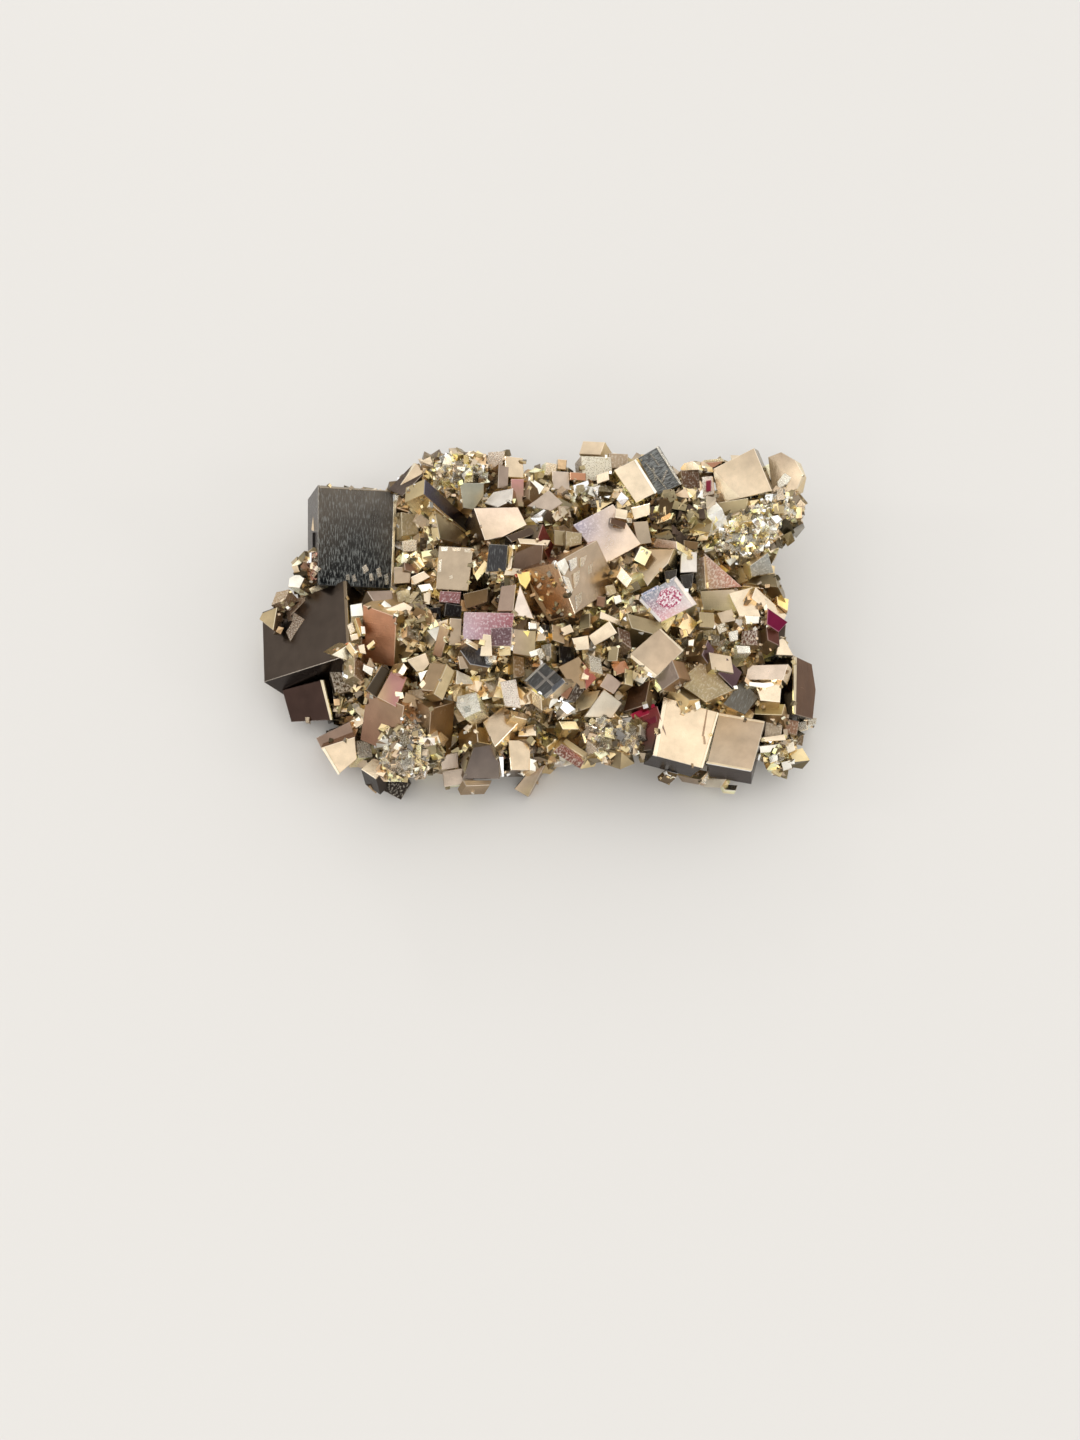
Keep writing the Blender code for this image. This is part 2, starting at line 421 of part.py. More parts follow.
def crevice_level(point: Vector, crystals: BVHTree) -> float:
    """The level of the lump's skin at a point: a little under the lowest crystal near it."""
    levels = []
    reaches = [Vector()]
    for turn in range(CREVICE_BEARINGS):
        bearing = math.tau * turn / CREVICE_BEARINGS
        reaches.append(Vector((math.cos(bearing), math.sin(bearing), 0.0)) * CREVICE_REACH)
    for reach in reaches:
        start = point + reach
        start.z = EYE.z
        top = crystals.ray_cast(start, Vector((0.0, 0.0, -1.0)))[0]
        if top is not None:
            levels.append(top.z)
    return min(levels, default=point.z + CREVICE_DEPTH) - CREVICE_DEPTH


def matrix_mesh(crystals: BVHTree, rng: random.Random) -> bmesh.types.BMesh:
    """The lump of massive ore that the crystals root in: rings from the foot to the middle."""
    mesh = bmesh.new()
    rings = []
    for level, inset in WALL_RINGS + tuple((None, inset) for inset in TOP_RINGS):
        ring = []
        for sector in range(MATRIX_SECTORS):
            point = matrix_point(math.tau * sector / MATRIX_SECTORS, level or WALL_RINGS[-1][0], inset)
            point += Vector([rng.uniform(-SKIN_ROUGHNESS, SKIN_ROUGHNESS) for _ in range(3)])
            if level is None:
                point.z = crevice_level(point, crystals)
            else:
                point = tucked_in(point, crystals)
            ring.append(mesh.verts.new(point))
        rings.append(ring)
    for lower, upper in zip(rings, rings[1:]):
        for sector in range(MATRIX_SECTORS):
            after = (sector + 1) % MATRIX_SECTORS
            mesh.faces.new((lower[sector], lower[after], upper[after], upper[sector]))
    for ring in (rings[0][::-1], rings[-1]):
        mesh.faces.new(ring)
    bmesh.ops.triangulate(mesh, faces=mesh.faces[:])
    return mesh


def add_skirts(mesh: bmesh.types.BMesh, crystals: BVHTree, lump: BVHTree, rng: random.Random) -> None:
    """Add rows of crystals round the back, the ends and the foot, clear of the showing side."""
    for first, last, level, tries, size in SKIRTS:
        for index in range(tries):
            bearing = first + (last - first) * (index + rng.uniform(0.2, 0.8)) / tries
            centre = matrix_point(bearing, level + rng.uniform(-SKIRT_SCATTER, SKIRT_SCATTER), SKIRT_INSET)
            edges = cube_edges(size * rng.uniform(0.6, 1.15), rng)
            if all(is_hidden(spot, crystals, lump) for spot in block_lattice(centre, edges)):
                add_block(mesh, centre, edges)


def mesh_object(name: str, mesh: bmesh.types.BMesh) -> bpy.types.Object:
    """Put a mesh, drawn in millimetres, into the scene in metres."""
    mesh.transform(Matrix.Scale(MM, 4))
    bmesh.ops.recalc_face_normals(mesh, faces=mesh.faces[:])
    data = bpy.data.meshes.new(name)
    mesh.to_mesh(data)
    mesh.free()
    thing = bpy.data.objects.new(name, data)
    bpy.context.scene.collection.objects.link(thing)
    return thing


def guide(thing: bpy.types.Object) -> bpy.types.Object:
    """Mark an object as a cutter, which isn't part of the specimen."""
    thing.hide_render = True
    thing.display_type = "WIRE"
    return thing


def boolean(thing: bpy.types.Object, other: bpy.types.Object, operation: str) -> None:
    """Join or cut the specimen with another object."""
    modifier = thing.modifiers.new(operation.lower(), "BOOLEAN")
    modifier.operation = operation
    modifier.object = other
    modifier.solver = "EXACT"
    modifier.use_self = operation == "UNION"


def shells(mesh: bmesh.types.BMesh) -> list[list[bmesh.types.BMFace]]:
    """The shells of a mesh, largest first. An edge that more than two faces share parts them."""
    left = set(mesh.faces)
    found = []
    while left:
        start = left.pop()
        shell = [start]
        edge_of_search = [start]
        while edge_of_search:
            face = edge_of_search.pop()
            for edge in face.edges:
                if len(edge.link_faces) > 2:
                    continue
                for other in edge.link_faces:
                    if other in left:
                        left.remove(other)
                        shell.append(other)
                        edge_of_search.append(other)
        found.append(shell)
    return sorted(found, key=len, reverse=True)


def fill_hollows(thing: bpy.types.Object) -> None:
    """Apply the joins, and fill the spaces that crystals closed in between them."""
    evaluated = thing.evaluated_get(bpy.context.evaluated_depsgraph_get())
    mesh = bmesh.new()
    mesh.from_mesh(evaluated.to_mesh())
    evaluated.to_mesh_clear()
    for shell in shells(mesh)[1:]:
        bmesh.ops.delete(mesh, geom=shell, context="FACES")
    bmesh.ops.dissolve_limit(mesh, angle_limit=math.radians(0.05), verts=mesh.verts[:], edges=mesh.edges[:])
    bmesh.ops.triangulate(mesh, faces=mesh.faces[:])
    thing.modifiers.clear()
    mesh.to_mesh(thing.data)
    mesh.free()


def pyrite_material() -> bpy.types.Material:
    """Pale brassy metal."""
    material = bpy.data.materials.new("pyrite")
    material.use_nodes = True
    shader = material.node_tree.nodes["Principled BSDF"]
    shader.inputs["Base Color"].default_value = PYRITE_COLOUR
    shader.inputs["Metallic"].default_value = 1.0
    shader.inputs["Roughness"].default_value = PYRITE_ROUGHNESS
    return material


def build() -> bpy.types.Object:
    """Grow the crystals on the lump, join everything and cut the base flat."""
    for thing in list(bpy.data.objects):
        bpy.data.objects.remove(thing)
    rng = random.Random(SEED)
    crystals = bmesh.new()
    for crystal in SHOWING:
        add_crystal(crystals, crystal)
    for druse in DRUSES:
        add_druse(crystals, druse, rng)
    showing = BVHTree.FromBMesh(crystals)
    lump = matrix_mesh(showing, rng)
    add_skirts(crystals, showing, BVHTree.FromBMesh(lump), rng)
    cluster = mesh_object("pyrite_cluster", lump)
    grown = guide(mesh_object("grown_crystals", crystals))
    ground = bmesh.new()
    ground_edges = tuple(Vector(edge) for edge in (
        (GROUND_SIZE, 0.0, 0.0),
        (0.0, GROUND_SIZE, 0.0),
        (0.0, 0.0, GROUND_DEPTH),
    ))
    add_block(ground, Vector((0.0, 0.0, -GROUND_DEPTH / 2)), ground_edges)
    below = guide(mesh_object("below_base", ground))
    boolean(cluster, grown, "UNION")
    boolean(cluster, below, "DIFFERENCE")
    fill_hollows(cluster)
    bpy.data.objects.remove(grown)
    bpy.data.objects.remove(below)
    cluster.data.materials.append(pyrite_material())
    return cluster


build()
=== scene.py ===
"""The look of a pyrite cluster: brassy cubes grown through one another on a lump of ore.

The faces of the showing side are drawn on the picture plane of the camera, in pixels of its
1080 x 1440 view. Each one stands at a stated height over the base and leans as a face of a true
cube would, and its crystal runs back from it. Their tones are partly tarnish and partly painted
reflection and painted shade: the light or dark that each brassy face mirrors. Thin chips and
scratches lie on some of them, and thin pale lines along some edges that are painted edge
highlights. The ore lump follows the crystals, small crystals fill the gaps between them, and
seeded crystals finish the back, the ends and the foot. Lengths are in millimetres unless a name
says otherwise.
"""
from __future__ import annotations

import itertools
import logging
import math
import random
import sys
from dataclasses import dataclass, field
from enum import Enum
from typing import Any, NamedTuple, Optional, Sequence, Union

import bmesh
import bpy
from mathutils import Matrix, Vector, noise
from mathutils.bvhtree import BVHTree

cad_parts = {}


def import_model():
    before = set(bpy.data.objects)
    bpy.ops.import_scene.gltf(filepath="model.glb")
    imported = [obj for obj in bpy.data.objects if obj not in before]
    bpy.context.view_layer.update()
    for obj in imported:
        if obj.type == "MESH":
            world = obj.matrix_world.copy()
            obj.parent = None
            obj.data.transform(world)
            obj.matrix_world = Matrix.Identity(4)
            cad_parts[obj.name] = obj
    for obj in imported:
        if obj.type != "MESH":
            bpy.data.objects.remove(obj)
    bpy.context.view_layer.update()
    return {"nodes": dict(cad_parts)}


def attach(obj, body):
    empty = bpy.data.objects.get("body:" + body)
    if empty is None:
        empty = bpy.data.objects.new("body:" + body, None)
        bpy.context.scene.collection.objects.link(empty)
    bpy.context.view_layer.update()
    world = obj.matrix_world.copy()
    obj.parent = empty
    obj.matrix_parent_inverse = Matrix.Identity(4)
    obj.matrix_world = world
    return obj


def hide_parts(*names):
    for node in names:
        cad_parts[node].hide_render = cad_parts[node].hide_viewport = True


log = logging.getLogger("pyrite")

MM = 0.001
NODE = "pyrite_cluster"
SOLID_SEED = 24
NOISE_SEED = 31

Point = tuple[float, float]
Spread = tuple[float, float]
Colour = tuple[float, float, float, float]

UP = Vector((0.0, 0.0, 1.0))
DOWN = Vector((0.0, 0.0, -1.0))
ALONG = Vector((1.0, 0.0, 0.0))
SIDEWAYS = tuple(Vector(way) for way in ((1, 0, 0), (-1, 0, 0), (0, 1, 0), (0, -1, 0)))
TINY = 1e-9
CLEARANCE = 1e-4


class Tone(NamedTuple):
    """A colour from 0 to 255 as the eye sees it, and how worn the face is there, from 0 to 1."""

    red: float
    green: float
    blue: float
    wear: float = 0.3

    def lit(self, light: float) -> Tone:
        """The same colour, made lighter or darker."""
        return Tone(self.red * light, self.green * light, self.blue * light, self.wear)

    def worn(self, wear: float) -> Tone:
        """The same colour on a face that is more or less worn."""
        return self._replace(wear=wear)

    def toward(self, other: Tone, share: float) -> Tone:
        """A blend of this colour and another."""
        return Tone(*(a + (b - a) * share for a, b in zip(self, other)))

    def linear(self) -> Colour:
        """The colour as the shader reads it, with the wear as its alpha."""
        parts = [min(max(part, 0.0), 255.0) / 255 for part in self[:3]]
        red, green, blue = (p / 12.92 if p < 0.04 else ((p + 0.055) / 1.055) ** 2.4 for p in parts)
        return (red, green, blue, self.wear)


# The tones of the faces. All the crystals are one brassy metal, so most of these paint what a face mirrors:
# the pale ones are painted reflection of light, and UMBER, DARK and BLACK are painted shade and painted
# reflection of dark surroundings. The pink, plum, lilac and indigo ones are tarnish.
WHITE = Tone(250, 243, 228)
CREAM = Tone(233, 213, 184)
CHAMPAGNE = Tone(220, 198, 168)
BEIGE = Tone(194, 174, 148)
TAUPE = Tone(168, 148, 125)
TAN = Tone(180, 152, 118)
COPPER = Tone(178, 128, 98)
SALMON = Tone(180, 126, 106)
BRONZE = Tone(112, 88, 60)
GOLD = Tone(224, 196, 134)
STRAW = Tone(210, 190, 146)
KHAKI = Tone(154, 137, 106)
OLIVE = Tone(114, 102, 76)
BROWN = Tone(98, 74, 58)
UMBER = Tone(68, 56, 47)
DARK = Tone(44, 38, 34)
BLACK = Tone(26, 22, 21)
STEEL = Tone(122, 115, 105)
SILVER = Tone(198, 187, 168)
MIST = Tone(216, 207, 196)
PINK = Tone(178, 128, 122)
ROSE = Tone(214, 194, 174)
PLUM = Tone(86, 66, 68)
MAUVE = Tone(148, 130, 116)
LILAC = Tone(180, 172, 186)
INDIGO = Tone(78, 72, 84)


@dataclass(frozen=True)
class Surface:
    """How a crystal face is finished, apart from its colour.

    The grain is the pattern that flecks the face: its rate is in cells per millimetre across the
    face and its reach how much longer each cell is than it is wide. Flecks show where the grain
    is over the level, and wear lowers that level.
    """

    roughness: float
    rate: float
    reach: float
    level: float
    fleck: Tone
    strength: float
    relief: float
    steps: float = 0.0
    metal: float = 0.96


class Finish(Enum):
    """The ways in which the faces of the cluster are finished."""

    CLEAN = Surface(0.24, 1.6, 2.0, 0.76, Tone(255, 246, 226), 0.30, 0.25)
    SATIN = Surface(0.32, 3.0, 5.0, 0.66, Tone(236, 218, 186), 0.35, 0.6, 0.5)
    SLATE = Surface(0.30, 5.4, 7.0, 0.60, Tone(148, 150, 146), 0.62, 0.9)
    BLOOM = Surface(0.30, 3.0, 1.2, 0.56, Tone(228, 216, 216), 1.2, 0.8)
    ETCHED = Surface(0.34, 3.2, 1.6, 0.56, Tone(240, 230, 212), 0.75, 1.8)
    SUGAR = Surface(0.26, 4.6, 1.0, 0.52, Tone(255, 250, 236), 0.80, 2.6)
    ORE = Surface(0.50, 1.5, 1.0, 0.60, Tone(168, 150, 116), 0.6, 3.0, 0.0, 0.55)


CLEAN, SATIN, SLATE, BLOOM, ETCHED, SUGAR, ORE = Finish


@dataclass(frozen=True)
class View:
    """The camera's place and the lines of sight through its picture, in millimetres and pixels.

    The plane is the one on which the drusy patches are laid out: its middle in the picture and its
    pixels per millimetre. The slack is how close to a spot a shape may come without hiding it.
    """

    middle: Vector = Vector((0.73, -2.7, 13.0))
    pitch: float = math.radians(65.8)
    distance: float = 173.3
    rise: float = 17.5
    focal: float = 1040.0
    centre: Point = (540.0, 720.0)
    plane_middle: Point = (540.0, 615.0)
    plane_scale: float = 6.0
    slack: float = 0.02

    @property
    def look(self) -> Vector:
        """The way in which the camera points."""
        return Vector((0.0, math.cos(self.pitch), -math.sin(self.pitch)))

    @property
    def up(self) -> Vector:
        """The picture's upright."""
        return Vector((0.0, math.sin(self.pitch), math.cos(self.pitch)))

    @property
    def eye(self) -> Vector:
        """Where the camera stands."""
        return self.middle - self.look * self.distance - self.up * self.rise

    def line(self, point: Point) -> Vector:
        """The line of sight through a point of the picture, one focal length deep."""
        across, down = point
        return (
            self.look * self.focal
            + Vector((across - self.centre[0], 0.0, 0.0))
            + self.up * (self.centre[1] - down)
        )

    def at_height(self, point: Point, height: float) -> Vector:
        """Where the line of sight through a point comes down to a height over the base."""
        line = self.line(point)
        return self.eye + line * ((height - self.eye.z) / line.z)

    def on_plane(self, point: Point, centre: Vector, normal: Vector) -> Vector:
        """Where the line of sight through a point meets a plane."""
        line = self.line(point)
        return self.eye + line * ((centre - self.eye).dot(normal) / line.dot(normal))

    def on_picture(self, across: float, up: float) -> Point:
        """The point of the picture at a place on the plane of the drusy patches."""
        return self.plane_middle[0] + self.plane_scale * across, self.plane_middle[1] - self.plane_scale * up

    def hides(self, spot: Vector, *screens: BVHTree) -> bool:
        """Whether any of the shapes stands between the eye and a spot."""
        line = spot - self.eye
        return any(
            screen.ray_cast(self.eye, line.normalized(), line.length - self.slack)[0] is not None
            for screen in screens
        )


VIEW = View()


@dataclass
class Shape:
    """The faces of one piece, gathered in millimetres, with what each of them wears.

    The fronts are the numbers of the faces that stay clear of small crystals.
    """

    spots: list[Vector] = field(default_factory=list)
    faces: list[list[int]] = field(default_factory=list)
    tones: list[list[Tone]] = field(default_factory=list)
    places: list[list[Point]] = field(default_factory=list)
    finishes: list[Finish] = field(default_factory=list)
    fronts: set[int] = field(default_factory=set)

    def add(self, spots: Sequence[Vector]) -> list[int]:
        """Add corners and give their numbers."""
        first = len(self.spots)
        self.spots.extend(spots)
        return list(range(first, first + len(spots)))

    def face(
        self, corners: Sequence[int], tones: Sequence[Tone], finish: Finish, along: Vector, start: Point
    ) -> None:
        """Add a face.

        Args:
            corners: Numbers of its corners, in order round it.
            tones: The tone at each corner.
            finish: The finish that it wears.
            along: The way in which the grain's width runs.
            start: The point of the grain that lies at its first corner.
        """
        spots = [self.spots[corner] for corner in corners]
        normal = (spots[1] - spots[0]).cross(spots[-1] - spots[0])
        if normal.length < TINY:
            normal = UP
        normal = normal.normalized()
        side = (along - normal * along.dot(normal)).normalized()
        foot = normal.cross(side)
        self.faces.append(list(corners))
        self.tones.append(list(tones))
        ways = [spot - spots[0] for spot in spots]
        self.places.append([(start[0] + way.dot(side), start[1] + way.dot(foot)) for way in ways])
        self.finishes.append(finish)

    def joined(self, other: Shape) -> Shape:
        """The corners and faces of this shape and another, without what they wear."""
        first = len(self.spots)
        return Shape(
            self.spots + other.spots,
            self.faces + [[corner + first for corner in face] for face in other.faces],
        )

    def tree(self) -> BVHTree:
        """The shape as lines of sight meet it."""
        return BVHTree.FromPolygons(self.spots, self.faces)

    def piece(self, name: str, dresser: Dresser) -> bpy.types.Object:
        """Make the shape a piece of the model, cut flat at the base.

        Args:
            name: The piece's name.
            dresser: What makes the finishes.

        Returns:
            The object, which rides on the cluster's body.
        """
        mesh = bpy.data.meshes.new(name)
        mesh.from_pydata([spot * MM for spot in self.spots], [], self.faces)
        tone = mesh.color_attributes.new("tone", "FLOAT_COLOR", "CORNER")
        place = mesh.uv_layers.new(name="face")
        colours = [part for tones in self.tones for one in tones for part in one.linear()]
        tone.data.foreach_set("color", colours)
        place.data.foreach_set("uv", [part for places in self.places for one in places for part in one])
        worn = list(dict.fromkeys(self.finishes))
        for finish in worn:
            mesh.materials.append(dresser.material(finish))
        mesh.polygons.foreach_set("material_index", [worn.index(finish) for finish in self.finishes])
        self.cut_base(mesh)
        thing = bpy.data.objects.new(name, mesh)
        bpy.context.scene.collection.objects.link(thing)
        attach(thing, "root")
        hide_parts(NODE)
        log.info("%s: %d faces", name, len(mesh.polygons))
        return thing

    @staticmethod
    def cut_base(mesh: bpy.types.Mesh) -> None:
        """Cut off what lies under the base plane and close the crystals that it opens.

        Args:
            mesh: The piece's mesh, in metres.
        """
        work = bmesh.new()
        work.from_mesh(mesh)
        parts = work.verts[:] + work.edges[:] + work.faces[:]
        cut = bmesh.ops.bisect_plane(work, geom=parts, plane_co=Vector(), plane_no=DOWN, clear_outer=True)
        rims = [part for part in cut["geom_cut"] if isinstance(part, bmesh.types.BMEdge)]
        filled = bmesh.ops.edgeloop_fill(work, edges=rims)["faces"] if rims else []
        tone = work.loops.layers.float_color["tone"]
        place = work.loops.layers.uv["face"]
        for face in filled:
            for loop in face.loops:
                loop[tone] = UMBER.worn(0.6).linear()
                loop[place].uv = (loop.vert.co.x / MM, loop.vert.co.y / MM)
        bmesh.ops.recalc_face_normals(work, faces=work.faces[:])
        work.to_mesh(mesh)
        work.free()


@dataclass(frozen=True)
class Habit:
    """How the faces of one crystal differ from one another, and how its front edges are broken.

    Each spread is the range that a light or a length is drawn from. Dark flanks are those under
    the darkest tone that is blended with khaki, and they stay clear of small crystals. The broken
    edges are blended toward white, a painted edge highlight. The other flanks are drawn lighter
    than their tone, painted light against the shade between the crystals, and each side grows
    darker towards its back end, painted shade where it runs in.
    """

    edge_lengths: Spread = (0.8, 1.2)
    pair_lights: Spread = (0.5, 1.35)
    corner_lights: Spread = (0.88, 1.12)
    front_lights: Spread = (0.95, 1.05)
    flank_lights: Spread = (1.15, 1.95)
    grain_starts: Spread = (0.0, 200.0)
    grain_shift: Spread = (40.0, 17.0)
    flank_share: float = 0.35
    painted_deep_shade: float = 0.9
    rim: float = 0.09
    rim_highlight_share: float = 0.35
    least_bend: float = 0.35
    least_inset: float = 0.02
    hollow: float = 0.004


HABIT = Habit()


def grain_start(rng: random.Random) -> Point:
    """The point of the grain at which a crystal's own grain starts."""
    return rng.uniform(*HABIT.grain_starts), rng.uniform(*HABIT.grain_starts)


def add_prism(
    shape: Shape,
    outline: Sequence[Vector],
    back: Vector,
    tones: Sequence[Tone],
    flank: Tone,
    finish: Finish,
    rng: random.Random,
    rim: float = HABIT.rim,
) -> None:
    """Add a crystal that runs back from one of its faces, with its front edges broken and painted
    paler as a painted edge highlight, and its sides painted darker towards the back as painted shade.

    Args:
        shape: What it is added to.
        outline: The corners of the face, in order round it.
        back: How the crystal runs back from the face.
        tones: The tone at each corner of the face, or one tone for all.
        flank: The tone of its sides.
        finish: The finish of the face and the sides.
        rng: The draw for the small differences between its faces.
        rim: Width of the broken edge.
    """
    count = len(outline)
    middle = sum(outline, Vector()) / count
    along = (outline[1] - outline[0]).normalized()
    unit = back.normalized()
    inner = []
    for index, spot in enumerate(outline):
        before = (outline[index - 1] - spot).normalized()
        after = (outline[(index + 1) % count] - spot).normalized()
        bend = max(math.sin(before.angle(after, math.pi / 2)), HABIT.least_bend)
        step = (before + after) * (rim / bend)
        inner.append(spot + step if step.dot(middle - spot) > 0 else spot.lerp(middle, HABIT.least_inset))
    rings = [
        shape.add(inner),
        shape.add([spot + unit * rim for spot in outline]),
        shape.add([spot + back for spot in outline]),
    ]
    start = grain_start(rng)
    dark = flank.green < UMBER.green
    face_tones = list(tones) if len(tones) == count else [tones[0]] * count
    shown = [tone.lit(rng.uniform(*HABIT.front_lights)) for tone in face_tones]
    heart = shape.add([middle - unit * HABIT.hollow])[0]
    heart_tone = Tone(*(sum(parts) / count for parts in zip(*shown)))
    for index in range(count):
        after = (index + 1) % count
        corners = (heart, rings[0][index], rings[0][after])
        # pale: the broken edge blended toward white, a painted edge highlight.
        pale = [face_tones[end].toward(WHITE, HABIT.rim_highlight_share) for end in (index, after)]
        shape.face(corners, (heart_tone, shown[index], shown[after]), finish, along, start)
        shape.fronts.add(len(shape.faces) - 1)
        rim_corners = (rings[0][index], rings[1][index], rings[1][after], rings[0][after])
        shape.face(rim_corners, (pale[0], pale[0], pale[1], pale[1]), finish, along, start)
        # The flank is drawn lighter, painted light against the shade between crystals; deep, its back end, is
        # painted shade.
        side = flank.toward(KHAKI, 0.0 if dark else HABIT.flank_share).lit(rng.uniform(*HABIT.flank_lights))
        deep = side.lit(HABIT.painted_deep_shade)
        side_corners = (rings[1][index], rings[2][index], rings[2][after], rings[1][after])
        place = (start[0] + HABIT.grain_shift[0], start[1] + HABIT.grain_shift[1] * index)
        shape.face(side_corners, (side, deep, deep, side), finish, back, place)
        if dark:
            shape.fronts.add(len(shape.faces) - 1)
    shape.face(rings[2][::-1], [flank] * count, finish, along, start)


def corner_at(centre: Vector, edges: Sequence[Vector], shares: Sequence[float]) -> Vector:
    """The spot that lies some shares of each edge from a crystal's middle."""
    return centre + sum((edge * share for edge, share in zip(edges, shares)), Vector())


def random_turn(rng: random.Random) -> Matrix:
    """An even draw among all the ways a cube can be turned."""
    axis = Vector((rng.gauss(0, 1), rng.gauss(0, 1), rng.gauss(0, 1))).normalized()
    return Matrix.Rotation(rng.uniform(0, math.tau), 3, axis)


def cube_edges(size: float, rng: random.Random) -> tuple[Vector, Vector, Vector]:
    """The three edges of a crystal that is turned at random, a little uneven in length."""
    turn = random_turn(rng)
    return tuple(turn.col[axis] * size * rng.uniform(*HABIT.edge_lengths) for axis in range(3))


def add_cube(
    shape: Shape,
    centre: Vector,
    edges: Sequence[Vector],
    tone: Tone,
    finish: Finish,
    rng: random.Random,
    broken: float = 0.0,
) -> None:
    """Add a crystal by its middle and its three edges, each pair of its faces in a tone of its own.

    Args:
        shape: What it is added to.
        centre: Its middle.
        edges: Its three edges.
        tone: The tone round which its faces vary.
        finish: The finish of its faces.
        rng: The draw for the differences between its faces.
        broken: How far its corners stray, as a share of its edges.
    """
    signs = list(itertools.product((-0.5, 0.5), repeat=3))
    corners = shape.add([
        corner_at(centre, edges, [side + rng.uniform(-broken, broken) for side in sign]) for sign in signs
    ])
    start = grain_start(rng)
    for axis in range(3):
        for side in (-0.5, 0.5):
            ring = [number for number, sign in zip(corners, signs) if sign[axis] == side]
            ring[2], ring[3] = ring[3], ring[2]
            own = tone.lit(rng.uniform(*HABIT.pair_lights))
            tones = [own.lit(rng.uniform(*HABIT.corner_lights)) for _ in ring]
            shape.face(ring, tones, finish, edges[(axis + 1) % 3], start)


SMALL_LEAN = 0.55


@dataclass(frozen=True)
class Facet:
    """One crystal, by the face that shows best. Its tones are partly tarnish and partly painted
    reflection and painted shade: the light or dark that the brassy face mirrors.

    The outline runs round the face. Its first corner is where the two edges meet that fix how
    the face stands: the next corner ends its side edge, and the last corner its foot edge.
    near is 1 where the foot is the nearer end of its edge, and -1 where it is the farther. ratio
    is the true length of the side edge over that of the foot edge. Without it the two edges are
    taken as they are seen, and the face leans only by a share of what a right angle asks for.
    """

    name: str
    outline: tuple[Point, ...]
    height: float
    depth: float
    tone: Union[Tone, tuple[Tone, ...]]
    flank: Tone
    finish: Finish = CLEAN
    near: int = 1
    ratio: Optional[float] = None

    def stand(self) -> tuple[Vector, Vector]:
        """Stand the face in space, as a face whose two edges meet at a right angle.

        Returns:
            A spot on the face and the unit vector that points out of it.
        """
        corner, side_end, foot_end = self.outline[0], self.outline[1], self.outline[-1]
        middle = ((side_end[0] + foot_end[0]) / 2, (side_end[1] + foot_end[1]) / 2)
        centre = VIEW.at_height(middle, self.height)
        toward = (VIEW.eye - centre).normalized()
        corner_spot = VIEW.on_plane(corner, centre, toward)
        side = VIEW.on_plane(side_end, centre, toward) - corner_spot
        foot = VIEW.on_plane(foot_end, centre, toward) - corner_spot
        skew = side.dot(foot)
        ratio = self.ratio or side.length / foot.length
        short = ratio ** 2 * foot.length_squared - side.length_squared
        side_gain = math.sqrt((short + math.hypot(short, 2 * ratio * skew)) / 2)
        spare = -short / ratio ** 2
        foot_gain = math.sqrt((spare + math.hypot(spare, 2 * skew / ratio)) / 2)
        lean = self.near * (1.0 if self.ratio else SMALL_LEAN)
        side += toward * side_gain * lean * (-1 if skew >= 0 else 1)
        foot += toward * foot_gain * lean
        normal = side.cross(foot).normalized()
        if normal.dot(toward) < 0:
            normal.negate()
        return centre, normal

    def add_to(self, shape: Shape, rng: random.Random) -> None:
        """Add the crystal, which runs back from its face.

        Args:
            shape: The shape of the showing side.
            rng: The draw for the small differences between its faces.
        """
        centre, normal = self.stand()
        corners = [VIEW.on_plane(point, centre, normal) for point in self.outline]
        turn = (corners[1] - corners[0]).cross(corners[-1] - corners[0]).dot(normal)
        tones = (self.tone,) if isinstance(self.tone, Tone) else self.tone
        if turn < 0:
            corners.reverse()
            tones = tones[::-1]
        add_prism(shape, corners, -normal * self.depth, tones, self.flank, self.finish, rng)


